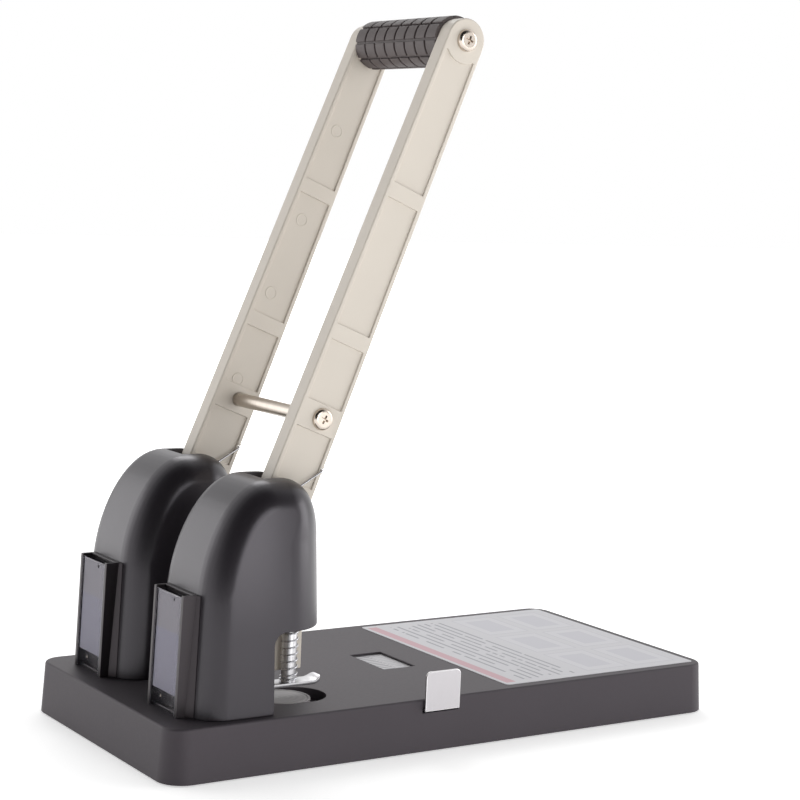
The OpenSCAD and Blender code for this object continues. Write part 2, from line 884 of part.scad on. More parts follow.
module drawer_card(y) {
    top = box_h - 1.2;
    half = card_half - apart / 2;
    low = drawer_low + card_rest + seat;
    color(sheet_white)
    at_box(y)
        difference() {
            translate([panel_t + 0.1 + seat, -half, low])
                cube([card_t, 2 * half, top - low]);
            translate([0, hole_y, box_h - 1 - hole_down])
                rotate([0, 90, 0])
                    cylinder(r = 0.8, h = 4 * drawer_wall, center = true);
        }
}

// Pivot

module pivot_axle(y) {
    length = 2 * (cheek_out + 2 * clip_t + 4 * clip_play);
    clip_groove = clip_t + clip_play;
    color(bright_steel)
    translate([pivot_x, y, pivot_z])
        rotate([90, 0, 0])
            difference() {
                cylinder(r = axle_r, h = length, center = true);
                for (side = [-1, 1])
                    translate([0, 0, side * (cheek_out + clip_play + clip_groove / 2)])
                        difference() {
                            cylinder(r = axle_r + clip_rim, h = clip_groove, center = true);
                            cylinder(r = axle_r - clip_bite, h = 2 * clip_groove, center = true);
                        }
            }
}

module axle_clips() {
    color(nickel)
    for (y = towers, side = [-1, 1])
        translate([pivot_x, y + side * (cheek_out + clip_play + (clip_t + clip_play) / 2), pivot_z])
            rotate([90, 0, 0])
                difference() {
                    cylinder(r = axle_r + clip_rim, h = clip_t, center = true);
                    cylinder(r = axle_r - clip_bite + seat, h = 2 * clip_t, center = true);
                    translate([0, -axle_r - clip_rim, 0])
                        cube([2 * axle_r - 2, 2 * (axle_r + clip_rim / 2), 2 * clip_t], center = true);
                }
}

// Lever

arm_nose = [crank_r * cos(crank_up + arm_lean), crank_r * sin(crank_up + arm_lean)];

function arm_back_edge(up) = toward(-arm_back, rod_ahead - arm_end_r, up / grip_up);
function arm_front_edge(up) = toward(arm_nose[0] + crank_boss_r, rod_ahead + arm_end_r, up / grip_up);

module arm_outline() {
    heel_r = 2.5;
    nose = [arm_nose[0], arm_nose[1], crank_boss_r];
    belt([[0, 0, hub_r], nose, [0, 2, hub_r - 2]]);
    belt([nose, [rod_ahead, grip_up, arm_end_r], [heel_r - arm_back, 8, heel_r]]);
}

// Shallow pockets between the ribs, measured along the arm from the cross rod
module arm_pockets() {
    boss_gap = 6.7;
    low_rib = 39.8;
    high_rib = 111.2;
    spans = [
        [-32, -boss_gap],
        [boss_gap, low_rib - cross_rib / 2],
        [low_rib + cross_rib / 2, high_rib - cross_rib / 2],
        [high_rib + cross_rib / 2, grip_reach - 8]
    ];
    difference() {
        for (s = spans) {
            low = rod_up + s[0];
            high = rod_up + s[1];
            polygon([
                [arm_back_edge(low) + edge_rib, low],
                [arm_front_edge(low) - edge_rib, low],
                [arm_front_edge(high) - edge_rib, high],
                [arm_back_edge(high) + edge_rib, high]
            ]);
        }
        translate([rod_ahead, grip_up])
            circle(arm_end_r + 0.6);
    }
}

module lever_arm(y) {
    color(cream_paint)
    translate([0, y, 0])
        at_lever()
            difference() {
                union() {
                    upright(arm_t)
                        arm_outline();
                    rotate([90, 0, 0])
                        cylinder(r = hub_boss_r, h = 2 * (cheek_in - apart), center = true);
                }
                for (side = [-1, 1])
                    translate([0, side * (arm_t / 2), 0])
                        upright(2 * pocket_depth)
                            arm_pockets();
                rotate([90, 0, 0]) {
                    cylinder(r = pivot_bush_r + seat, h = 3 * cheek_out, center = true);
                    translate([arm_nose[0], arm_nose[1], 0])
                        cylinder(r = crank_pin_r + seat, h = 2 * arm_t, center = true);
                    for (up = [rod_up, grip_up])
                        translate([rod_ahead, up, 0])
                            cylinder(r = screw_r + seat, h = 2 * arm_t, center = true);
                }
                translate([hook_ahead, 0, hook_up])
                    rotate([90, 0, 0])
                        cylinder(r = return_wire / 2 + apart, h = 2 * arm_t, center = true);
                for (hole = [[rod_up, rod_r], [grip_up, grip_core_r]])
                    translate([rod_ahead, y < 0 ? arm_t / 2 - socket_depth : -arm_t / 2 - 1, hole[0]])
                        rotate([-90, 0, 0])
                            cylinder(r = hole[1] + seat, h = socket_depth + 1);
            }
}

module pivot_bush(y) {
    color(bronze)
    translate([pivot_x, y, pivot_z])
        rotate([90, 0, 0])
            difference() {
                cylinder(r = pivot_bush_r, h = 2 * (cheek_in - apart), center = true);
                cylinder(r = axle_r + running, h = 3 * cheek_in, center = true);
            }
}

module crank_pin(y) {
    color(bright_steel)
    translate([crank_x, y, crank_z])
        rotate([90, 0, 0])
            cylinder(r = crank_pin_r, h = 2 * ear_out + 0.2, center = true);
}

// Bar between the arms with a tapped hole in each end
module tie_bar(up, r) {
    at_lever()
        translate([rod_ahead, 0, up])
            rotate([90, 0, 0])
                difference() {
                    cylinder(r = r, h = 2 * (arm_in + socket_depth - seat), center = true);
                    for (side = [-1, 1])
                        translate([0, 0, side * (arm_in + socket_depth)])
                            cylinder(r = screw_r + seat, h = 24, center = true);
                }
}

module tie_screws(up, head_r) {
    at_lever()
        for (side = [-1, 1])
            translate([rod_ahead, side * arm_out, up])
                rotate([-side * 90, 0, 0])
                    pan_screw(head_r, screw_head_h, screw_r, arm_t + 6);
}

module cross_rod() {
    color(nickel) tie_bar(rod_up, rod_r);
}

module rod_screws() {
    color(bright_steel) tie_screws(rod_up, rod_screw_head_r);
}

module grip_core() {
    color(nickel) tie_bar(grip_up, grip_core_r);
}

module grip_screws() {
    color(bright_steel) tie_screws(grip_up, grip_screw_head_r);
}

module grip_sleeve() {
    length = 2 * (arm_in - 0.1);
    groove_depth = 1;
    pitch = length / (grip_rings + 1);
    color(black_rubber)
    at_lever()
        translate([rod_ahead, 0, grip_up])
            rotate([90, 0, 0])
                difference() {
                    cylinder(r = grip_r, h = length, center = true);
                    cylinder(r = grip_core_r + seat, h = length + 2, center = true);
                    for (i = [1 : grip_rings])
                        translate([0, 0, i * pitch - length / 2])
                            difference() {
                                cylinder(r = grip_r + 1, h = groove_w, center = true);
                                cylinder(r = grip_r - groove_depth, h = groove_w + 1, center = true);
                            }
                    for (i = [0 : grip_flutes - 1])
                        rotate(i * 360 / grip_flutes)
                            translate([grip_r, 0, 0])
                                cube([2 * groove_depth, groove_w, length + 2], center = true);
                }
}

// Springs, each one unbroken tube swept along its own points

function unit(v) = v / norm(v);

function tube_points(path, outward, r, sides) =
    let (last = len(path) - 1)
    [for (i = [0 : last])
        let (along = unit(path[min(i + 1, last)] - path[max(i - 1, 0)]),
             across = unit(outward[i] - along * (outward[i] * along)),
             third = cross(along, across))
        for (k = [0 : sides - 1])
            path[i] + r * (across * cos(360 * k / sides) + third * sin(360 * k / sides))];

module tube(path, outward, r) {
    sides = 6;
    rings = len(path);
    skin = [for (i = [0 : rings - 2]) for (k = [0 : sides - 1])
        let (a = i * sides + k, b = i * sides + (k + 1) % sides)
        each [[a, a + sides, b], [b, a + sides, b + sides]]];
    ends = [for (k = [1 : sides - 2])
        each [[0, k, k + 1],
              [(rings - 1) * sides, (rings - 1) * sides + k + 1, (rings - 1) * sides + k]]];
    polyhedron(tube_points(path, outward, r, sides), concat(skin, ends));
}

// Least gap between points of a path that lie more than half a turn apart along it
function least_gap(path, wire) =
    min([for (i = [0 : len(path) - 1]) for (j = [i + 7 : 1 : len(path) - 1])
        norm(path[i] - path[j])]) - wire;

// Height of the pin spring after so many turns: close turns at both ends, even ones between
function pin_spring_z(turn) =
    let (low = pin_spring_low + pin_wire,
         high = pin_spring_high - pin_wire,
         rise = end_turns * end_pitch,
         pitch = (high - low - 2 * rise) / (pin_turns - 2 * end_turns))
    turn < end_turns ? low + turn * end_pitch
    : turn > pin_turns - end_turns ? high - (pin_turns - turn) * end_pitch
    : low + rise + (turn - end_turns) * pitch;

function pin_spring_radius(turn) =
    pin_spring_r + pin_spring_flare * max(0, 1 - turn / end_turns);

pin_steps = pin_spring_steps * pin_turns;
pin_angles = [for (i = [0 : pin_steps]) i * 360 / pin_spring_steps];
pin_helix = [for (a = pin_angles)
    let (turn = a / 360, r = pin_spring_radius(turn))
    [r * cos(a), r * sin(a), pin_spring_z(turn)]];
pin_path = concat(
    [[pin_helix[0][0], pin_helix[0][1], pin_spring_low]],
    pin_helix,
    [[pin_helix[pin_steps][0], pin_helix[pin_steps][1], pin_spring_high]]);
pin_outward = [for (p = pin_path) [p[0], p[1], 0]];

module pin_spring(y) {
    echo(pin_spring_least_gap = least_gap(pin_path, pin_wire));
    color(bright_steel)
    translate([pin_x, y, 0])
        tube(pin_path, pin_outward, pin_wire / 2);
}

// Return spring around the pivot: a leg hooked over the arm's front edge, close turns on the
// hub's boss, and a straight leg down to the frame's head
return_steps = floor(return_turn / 45);
return_coil = [for (i = [0 : return_steps])
    let (share = i / return_steps, a = return_leg_angle + 90 + return_turn * share)
    [return_r * cos(a), -return_y - return_pitch * return_turn / 360 * share, return_r * sin(a)]];
hook_ahead = arm_front_edge(rod_up / 2) - return_wire / 2;
return_hook = (hook_ahead + return_r * sin(return_leg_angle + arm_lean)) / cos(return_leg_angle + arm_lean);
hook_up = return_r * cos(return_leg_angle + arm_lean) + return_hook * sin(return_leg_angle + arm_lean);
return_leg_end = return_coil[0]
    + return_hook * [cos(return_leg_angle), 0, sin(return_leg_angle)];
return_path = concat(
    [return_leg_end + [0, 3, 0], return_leg_end + [0, 3 - return_wire, 0], return_leg_end],
    return_coil,
    [[return_coil[return_steps][0], return_coil[return_steps][1], head_top - pivot_z + 2],
     [return_coil[return_steps][0], return_coil[return_steps][1], head_top - pivot_z + seat]]);
return_outward = [for (i = [0 : len(return_path) - 1])
    i < 3 ? [-sin(return_leg_angle), 0, cos(return_leg_angle)]
    : i > return_steps + 3 ? [-1, 0, 0]
    : [return_path[i][0], 0, return_path[i][2]]];

module return_spring(y) {
    echo(return_spring_least_gap = least_gap(return_path, return_wire));
    color(bright_steel)
    translate([pivot_x, y, pivot_z])
        tube(return_path, return_outward, return_wire / 2);
}

// Punches, feet and discs

module guide_bush(y) {
    color(bronze)
    translate([pin_x, y, head_bottom])
        difference() {
            cylinder(r = bush_r, h = head_top - head_bottom);
            translate([0, 0, -1])
                cylinder(r = pin_r + running, h = head_top - head_bottom + 2);
        }
}

module punch_pin(y) {
    top = crank_z - head_drop - seat;
    color(bright_steel)
    translate([pin_x, y, tip_z])
        difference() {
            cylinder(r = pin_r, h = top - tip_z);
            translate([0, 0, -seat])
                cylinder(r1 = pin_r - 0.4, r2 = 0.2, h = 1.8);
        }
}

// Forked head on the punch: two ears with level slots, open ahead, that the crank pin runs in
module punch_head(y) {
    ear_front = pin_x + crank_pin_r + apart;
    slot_back = pin_x - crank_drift - crank_pin_r - apart;
    ear_back = slot_back - 2;
    slot_high = crank_pin_r + crank_slot_play;
    floor_z = crank_z - head_drop - head_floor;
    color(nickel)
    translate([0, y, 0])
        difference() {
            union() {
                translate([pin_x - 4.5, -ear_out, floor_z])
                    cube([ear_front - pin_x + 4.5, 2 * ear_out, head_floor]);
                for (side = [-1, 1])
                    translate([0, side * (ear_in + ear_out) / 2, 0])
                        upright(ear_out - ear_in)
                            polygon([
                                [pin_x - 4.5, floor_z],
                                [ear_front, floor_z],
                                [ear_front, crank_z + ear_rise],
                                [ear_back, crank_z + ear_rise],
                                [ear_back, crank_z - ear_rise]
                            ]);
            }
            translate([slot_back, -2 * ear_out, crank_z - slot_high])
                cube([crank_r, 4 * ear_out, 2 * slot_high]);
            translate([pin_x, 0, floor_z - 1])
                cylinder(r = pin_r + seat, h = head_floor + 2);
        }
}

// Pressure foot: a flat plate with a sleeve around the pin, an upturned tip and a slotted tongue
module foot_side(bend_x, bend_r, bend, tip_l) {
    far = 3 * bend_r;
    translate([tongue_x, foot_z])
        square([bend_x - tongue_x, foot_t]);
    translate([tongue_x, foot_z])
        square([foot_t, tongue_top - foot_z]);
    translate([bend_x, foot_top + bend_r]) {
        intersection() {
            difference() {
                circle(bend_r + foot_t);
                circle(bend_r);
            }
            polygon([[0, 0], [0, -far], [far * sin(bend), -far * cos(bend)]]);
        }
        rotate(bend)
            translate([0, -bend_r - foot_t])
                square([tip_l, foot_t]);
    }
}

module pressure_foot(y) {
    bend_r = foot_w * 0.76;
    bend = 30;
    tip_l = foot_t * 1.25;
    half = foot_w / 2;
    corner_r = foot_w / 4;
    bend_x = pin_x + foot_reach;
    tip_x = bend_x + bend_r * sin(bend) + tip_l * cos(bend);
    slot_low = stop_z - foot_lift - stop_r - apart;
    slot_high = stop_z + stop_r + apart;
    round_end = [for (side = [-1, 1]) for (a = [0 : 15 : 90])
        let (turn = side < 0 ? a - 90 : a)
        [tip_x - corner_r + corner_r * cos(turn), side * (half - corner_r) + corner_r * sin(turn)]];
    color(bright_steel)
    translate([0, y, 0])
        difference() {
            union() {
                intersection() {
                    upright(foot_w)
                        foot_side(bend_x, bend_r, bend, tip_l);
                    translate([0, 0, foot_z - 1])
                        linear_extrude(tongue_top)
                            polygon(concat([[tongue_x - 1, half], [tongue_x - 1, -half]], round_end));
                }
                translate([pin_x, 0, foot_z])
                    cylinder(r = sleeve_r, h = sleeve_top - foot_z);
            }
            translate([pin_x, 0, foot_z - 1])
                cylinder(r = pin_r + apart, h = sleeve_top - foot_z + 2);
            translate([tongue_x + foot_t / 2, 0, (slot_low + slot_high) / 2])
                cube([3 * foot_t, 2 * (stop_r + apart), slot_high - slot_low], center = true);
        }
}

module foot_stop(y) {
    color(nickel)
    translate([tongue_x + foot_t + apart, y, stop_z])
        rotate([0, 90, 0]) {
            cylinder(r = stop_head_r, h = 2.4);
            translate([0, 0, -(tongue_x + foot_t + apart - groove_back) - 7])
                cylinder(r = stop_r, h = tongue_x + foot_t + apart - groove_back + 8);
        }
}

module cutting_disc(y) {
    color(disc_grey)
    translate([disc_x, y, disc_top - disc_t])
        difference() {
            cylinder(r = disc_r, h = disc_t);
            translate([0, 0, disc_t - 0.3])
                difference() {
                    cylinder(r = disc_r - 1.2, h = 1);
                    translate([0, 0, -1])
                        cylinder(r = disc_r - 1.8, h = 3);
                }
        }
}

base_shell();
bottom_plate();
base_screws();
rubber_mat();
printed_sheet();
guide_channel();
guide_screws();
paper_guide();
guide_scale();
punch_frame(tower_near);  // punch_frame_near
punch_frame(tower_far);  // punch_frame_far
frame_bolts();
tower_cover(tower_near);  // tower_cover_near
tower_cover(tower_far);  // tower_cover_far
cover_screws();
spares_holder(tower_near);  // spares_holder_near
spares_holder(tower_far);  // spares_holder_far
holder_rivets();
spares_drawer(tower_near);  // spares_drawer_near
spares_drawer(tower_far);  // spares_drawer_far
drawer_card(tower_near);  // drawer_card_near
drawer_card(tower_far);  // drawer_card_far
pivot_axle(tower_near);  // pivot_axle_near
pivot_axle(tower_far);  // pivot_axle_far
axle_clips();
lever_arm(tower_near);  // lever_arm_near
lever_arm(tower_far);  // lever_arm_far
pivot_bush(tower_near);  // pivot_bush_near
pivot_bush(tower_far);  // pivot_bush_far
crank_pin(tower_near);  // crank_pin_near
crank_pin(tower_far);  // crank_pin_far
cross_rod();
rod_screws();
grip_core();
grip_sleeve();
grip_screws();
return_spring(tower_near);  // return_spring_near
return_spring(tower_far);  // return_spring_far
guide_bush(tower_near);  // guide_bush_near
guide_bush(tower_far);  // guide_bush_far
punch_pin(tower_near);  // punch_pin_near
punch_pin(tower_far);  // punch_pin_far
punch_head(tower_near);  // punch_head_near
punch_head(tower_far);  // punch_head_far
pressure_foot(tower_near);  // pressure_foot_near
pressure_foot(tower_far);  // pressure_foot_far
foot_stop(tower_near);  // foot_stop_near
foot_stop(tower_far);  // foot_stop_far
pin_spring(tower_near);  // pin_spring_near
pin_spring(tower_far);  // pin_spring_far
cutting_disc(tower_near);  // cutting_disc_near
cutting_disc(tower_far);  // cutting_disc_far
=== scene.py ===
"""Two-hole lever punch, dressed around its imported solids. Sizes are in millimetres."""

import json
import math

import bmesh
import bpy
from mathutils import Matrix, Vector

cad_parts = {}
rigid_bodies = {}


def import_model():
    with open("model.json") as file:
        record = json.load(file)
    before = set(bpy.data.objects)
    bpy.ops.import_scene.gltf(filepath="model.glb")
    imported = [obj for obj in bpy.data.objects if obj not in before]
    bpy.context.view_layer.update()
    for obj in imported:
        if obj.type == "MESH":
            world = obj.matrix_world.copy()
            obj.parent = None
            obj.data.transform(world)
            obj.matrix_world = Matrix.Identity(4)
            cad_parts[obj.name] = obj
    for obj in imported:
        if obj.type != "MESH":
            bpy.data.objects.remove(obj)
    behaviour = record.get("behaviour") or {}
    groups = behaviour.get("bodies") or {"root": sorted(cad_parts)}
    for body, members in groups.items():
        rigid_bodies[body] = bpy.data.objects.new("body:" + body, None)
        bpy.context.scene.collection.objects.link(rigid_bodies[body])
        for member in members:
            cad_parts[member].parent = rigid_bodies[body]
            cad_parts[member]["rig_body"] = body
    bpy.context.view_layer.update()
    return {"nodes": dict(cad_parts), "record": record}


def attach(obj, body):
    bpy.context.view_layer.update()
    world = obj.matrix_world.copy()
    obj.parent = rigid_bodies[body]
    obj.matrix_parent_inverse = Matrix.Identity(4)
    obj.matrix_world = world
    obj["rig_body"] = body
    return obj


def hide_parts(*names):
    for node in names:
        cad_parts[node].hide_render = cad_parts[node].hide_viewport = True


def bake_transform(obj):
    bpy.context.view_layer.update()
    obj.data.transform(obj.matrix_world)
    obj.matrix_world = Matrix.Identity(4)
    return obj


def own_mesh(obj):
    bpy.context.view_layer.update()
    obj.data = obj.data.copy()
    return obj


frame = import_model()

# One millimetre in Blender's metres
MM = 0.001
NODES = frame["nodes"]
SLOT_OF = {row["node"]: row["material_slot"] for row in frame["record"]["subparts"]}
SIDES = {"near": -40.0, "far": 40.0}

# Places of the lever, the same as in the part's source
PIVOT = Vector((-95.0, 0.0, 107.3))
ARM_LEAN = math.radians(22)
ROD_AHEAD = 8.4
ROD_UP = 55.3
GRIP_UP = 246.3
ARM_OUT = 44.5
ARM_IN = 35.5
PIN_X = -77.0

# Angles that tell flat faces and sharp edges apart
FLAT = math.radians(0.25)
SHARP = math.radians(32)


def lever_point(ahead, up, y):
    """Place of a point given square to the arm and along it from the pivot, with the lever at rest."""
    x = PIVOT.x + ahead * math.cos(ARM_LEAN) + up * math.sin(ARM_LEAN)
    z = PIVOT.z - ahead * math.sin(ARM_LEAN) + up * math.cos(ARM_LEAN)
    return Vector((x, y, z))


# Modelling helpers


def select_only(piece):
    bpy.ops.object.select_all(action="DESELECT")
    piece.select_set(True)
    bpy.context.view_layer.objects.active = piece


def copy_of(node, name):
    """A merged copy of a CAD node with its flat faces made whole."""
    piece = bpy.data.objects.new(name, NODES[node].data.copy())
    bpy.context.scene.collection.objects.link(piece)
    piece.data.materials.clear()
    select_only(piece)
    bpy.ops.mesh.customdata_custom_splitnormals_clear()
    bpy.ops.object.mode_set(mode="EDIT")
    bpy.ops.mesh.select_all(action="SELECT")
    bpy.ops.mesh.remove_doubles(threshold=0.002 * MM)
    bpy.ops.mesh.dissolve_limited(angle_limit=FLAT)
    bpy.ops.object.mode_set(mode="OBJECT")
    return piece


def bevel_where(piece, wanted, width, segments):
    """Rounds the sharp edges of a piece that pass the test."""
    select_only(piece)
    bpy.ops.object.mode_set(mode="EDIT")
    bpy.ops.mesh.select_mode(type="EDGE")
    bpy.ops.mesh.select_all(action="DESELECT")
    work = bmesh.from_edit_mesh(piece.data)
    for edge in work.edges:
        if len(edge.link_faces) == 2 and edge.calc_face_angle() > SHARP and wanted(edge):
            edge.select_set(True)
    bmesh.update_edit_mesh(piece.data)
    bpy.ops.mesh.bevel(offset=width * MM, segments=segments, profile=0.5, affect="EDGES")
    bpy.ops.object.mode_set(mode="OBJECT")


def standing_out(edge):
    return edge.is_convex


def shade(piece, angle=40, flats=True):
    """Smooth shading across soft bends, with flat faces kept flat where asked."""
    select_only(piece)
    bpy.ops.object.shade_smooth_by_angle(angle=math.radians(angle))
    if flats:
        even = piece.modifiers.new("even_shading", "WEIGHTED_NORMAL")
        even.keep_sharp = True
        bpy.ops.object.modifier_apply(modifier=even.name)


def dress(piece, material, *nodes):
    """Puts a finished piece in the place of its CAD nodes."""
    piece.data.materials.append(material)
    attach(piece, NODES[nodes[0]]["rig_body"])
    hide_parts(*nodes)


def settle(piece, place, turn):
    """Moves a piece made at the origin to its place and keeps that in its mesh."""
    piece.location = place * MM
    piece.rotation_euler = turn
    select_only(piece)
    bpy.ops.object.transform_apply(location=True, rotation=True, scale=True)


def twin(piece, name):
    copy = bpy.data.objects.new(name, piece.data.copy())
    bpy.context.scene.collection.objects.link(copy)
    return copy


def wire(name, points, radius):
    """Round wire along the given points."""
    path = bpy.data.curves.new(name, "CURVE")
    path.dimensions = "3D"
    path.bevel_depth = radius * MM
    path.bevel_resolution = 2
    path.use_fill_caps = True
    run = path.splines.new("POLY")
    run.points.add(len(points) - 1)
    for knot, point in zip(run.points, points):
        knot.co = (*(Vector(point) * MM), 1.0)
    piece = bpy.data.objects.new(name, path)
    bpy.context.scene.collection.objects.link(piece)
    select_only(piece)
    bpy.ops.object.convert(target="MESH")
    piece = bpy.context.view_layer.objects.active
    piece.data.materials.clear()
    bpy.ops.object.shade_smooth_by_angle(angle=math.radians(50))
    return piece


# Material helpers


def rgba(code):
    """sRGB hex to the linear colour that a shader takes."""
    parts = [int(code[i : i + 2], 16) / 255 for i in (1, 3, 5)]
    return (*[p / 12.92 if p <= 0.04045 else ((p + 0.055) / 1.055) ** 2.4 for p in parts], 1.0)


def add(tree, kind, wires, **settings):
    """Adds one node: a socket in wires is linked, and any other value is set."""
    made = tree.nodes.new(kind)
    for field, value in settings.items():
        setattr(made, field, value)
    for key, value in wires.items():
        if isinstance(value, bpy.types.NodeSocket):
            tree.links.new(value, made.inputs[key])
        else:
            made.inputs[key].default_value = value
    return made


def start(name):
    material = bpy.data.materials.new(name)
    material.use_nodes = True
    tree = material.node_tree
    tree.nodes.clear()
    shader = add(tree, "ShaderNodeBsdfPrincipled", {})
    add(tree, "ShaderNodeOutputMaterial", {"Surface": shader.outputs[0]})
    place = add(tree, "ShaderNodeTexCoord", {}).outputs["Object"]
    return material, tree, shader, place


def each(size):
    """Noise scale that gives one patch for each so many millimetres."""
    return 1.0 / (size * MM)


def skin(name, light, dark, cloud, grain, relief, rough, swing, ior, gleam="#ffffff"):
    """Plastic, paint or rubber: a slow change of tone, and a fine grain in the gloss and the relief.

    The clouds of tone, the grain and the relief are in millimetres.
    """
    material, tree, shader, place = start(name)
    tone = add(tree, "ShaderNodeTexNoise", {"Vector": place, "Scale": each(cloud), "Detail": 4.0})
    pebble = add(tree, "ShaderNodeTexNoise", {"Vector": place, "Scale": each(grain), "Detail": 3.0})
    colour = add(
        tree,
        "ShaderNodeMix",
        {0: tone.outputs["Fac"], 6: rgba(light), 7: rgba(dark)},
        data_type="RGBA",
    )
    gloss = add(
        tree,
        "ShaderNodeMapRange",
        {"Value": pebble.outputs["Fac"], "To Min": rough - swing, "To Max": rough + swing},
    )
    bump = add(
        tree,
        "ShaderNodeBump",
        {"Height": pebble.outputs["Fac"], "Distance": relief * MM, "Strength": 1.0},
    )
    tree.links.new(colour.outputs[2], shader.inputs["Base Color"])
    tree.links.new(gloss.outputs[0], shader.inputs["Roughness"])
    tree.links.new(bump.outputs[0], shader.inputs["Normal"])
    shader.inputs["IOR"].default_value = ior
    shader.inputs["Specular Tint"].default_value = rgba(gleam)
    return material


def metal(name, light, dark, run, grain, relief, rough, swing):
    """Worked metal: fine lines in the tone, the gloss and the relief, drawn out where the run is small.

    The grain and the relief are in millimetres, and the run is along X, Y and Z.
    """
    material, tree, shader, place = start(name)
    drawn = add(tree, "ShaderNodeMapping", {"Vector": place, "Scale": run})
    lines = add(
        tree,
        "ShaderNodeTexNoise",
        {"Vector": drawn.outputs[0], "Scale": each(grain), "Detail": 3.0},
    )
    colour = add(
        tree,
        "ShaderNodeMix",
        {0: lines.outputs["Fac"], 6: rgba(light), 7: rgba(dark)},
        data_type="RGBA",
    )
    gloss = add(
        tree,
        "ShaderNodeMapRange",
        {"Value": lines.outputs["Fac"], "To Min": rough - swing, "To Max": rough + swing},
    )
    bump = add(
        tree,
        "ShaderNodeBump",
        {"Height": lines.outputs["Fac"], "Distance": relief * MM, "Strength": 1.0},
    )
    tree.links.new(colour.outputs[2], shader.inputs["Base Color"])
    tree.links.new(gloss.outputs[0], shader.inputs["Roughness"])
    tree.links.new(bump.outputs[0], shader.inputs["Normal"])
    shader.inputs["Metallic"].default_value = 1.0
    return material


# Materials

# Injection-moulded ABS from a polished tool: nearly black, with a broad satin gleam
cover_abs = skin(
    "moulded_abs_satin_charcoal", "#252226", "#201d21",
    cloud=60, grain=1.4, relief=0.006, rough=0.3, swing=0.03, ior=1.58, gleam="#fcf7ff",
)
# Stove enamel on pressed steel: a slight orange peel, duller than the covers
base_enamel = skin(
    "stove_enamel_charcoal", "#39353a", "#322f33",
    cloud=45, grain=1.6, relief=0.01, rough=0.56, swing=0.04, ior=1.52, gleam="#fff3fa",
)
# Black ABS of the holders: plain moulded, fine spark finish drawn coarser than it is
black_abs = skin(
    "moulded_abs_black", "#1e1b1d", "#191719",
    cloud=30, grain=1.0, relief=0.006, rough=0.34, swing=0.04, ior=1.55, gleam="#fff3fa",
)
# Powder coat: soft cream with an even orange peel
cream_coat = skin(
    "powder_coat_cream", "#d0c8bd", "#c7bfb4",
    cloud=50, grain=1.5, relief=0.012, rough=0.46, swing=0.06, ior=1.5,
)
# Moulded rubber of the grip: warm charcoal, dull, with a dusty grain
grip_rubber = skin(
    "moulded_rubber_charcoal", "#534a49", "#484040",
    cloud=14, grain=0.9, relief=0.02, rough=0.6, swing=0.06, ior=1.52,
)
# Foamed rubber of the mat: black and open-pored
mat_rubber = skin(
    "foamed_rubber_black", "#1d1b1c", "#141314",
    cloud=12, grain=0.8, relief=0.06, rough=0.8, swing=0.06, ior=1.52,
)
# Satin nickel on drawn bar: lines around the bar from polishing
satin_nickel = metal(
    "satin_nickel_plate", "#c6bdb3", "#b2a9a0",
    run=(0.2, 1.0, 0.2), grain=0.8, relief=0.004, rough=0.3, swing=0.06,
)
# Zinc plate on cold-rolled sheet: pale, with faint rolling lines
zinc_plate = metal(
    "zinc_plate_on_sheet", "#c8c5c8", "#c1bec1",
    run=(1.0, 1.0, 0.12), grain=0.9, relief=0.0006, rough=0.2, swing=0.02,
)
# The same sheet's rounded edges: a painted highlight, a paler metal colour standing for the gleam of light
# along them
painted_zinc_highlight = metal(
    "zinc_plate_rubbed_edge", "#f2f0f1", "#e6e4e6",
    run=(1.0, 1.0, 0.12), grain=0.9, relief=0.0006, rough=0.42, swing=0.03,
)
# Edges of the clear panels: a painted highlight, a pale opaque colour standing for the light carried inside
# the plastic and the gleam along them
painted_panel_edge_highlight = skin(
    "moulded_acrylic_edge", "#d5d4da", "#bdbcc4",
    cloud=6, grain=0.8, relief=0.004, rough=0.2, swing=0.05, ior=1.49,
)
# Bright nickel on pan-head screws: near mirror with small handling marks
bright_nickel = metal(
    "bright_nickel_plate", "#dacfc4", "#c9beb3",
    run=(1.0, 1.0, 1.0), grain=1.5, relief=0.004, rough=0.22, swing=0.05,
)
# Ground and polished tool steel: fine lines round the pin
ground_steel = metal(
    "ground_tool_steel", "#d0cfd1", "#bfbec1",
    run=(0.2, 0.2, 1.0), grain=0.7, relief=0.003, rough=0.3, swing=0.06,
)
# Drawn spring wire: bright, with die lines
spring_wire = metal(
    "drawn_spring_wire", "#d9d9dc", "#b9b9be",
    run=(1.0, 1.0, 1.0), grain=0.6, relief=0.004, rough=0.24, swing=0.06,
)
# Sintered bronze of the bushes: warm and speckled with pores
sinter_bronze = metal(
    "sintered_bronze", "#b8935c", "#8f6f42",
    run=(1.0, 1.0, 1.0), grain=0.7, relief=0.02, rough=0.42, swing=0.08,
)


# Slight crown of the covers' sides: its middle and radius along X, and its start and radius up Z

CROWN_X = -84.0
CROWN_R = 170.0
CROWN_Z = 62.0
CROWN_TOP_R = 420.0


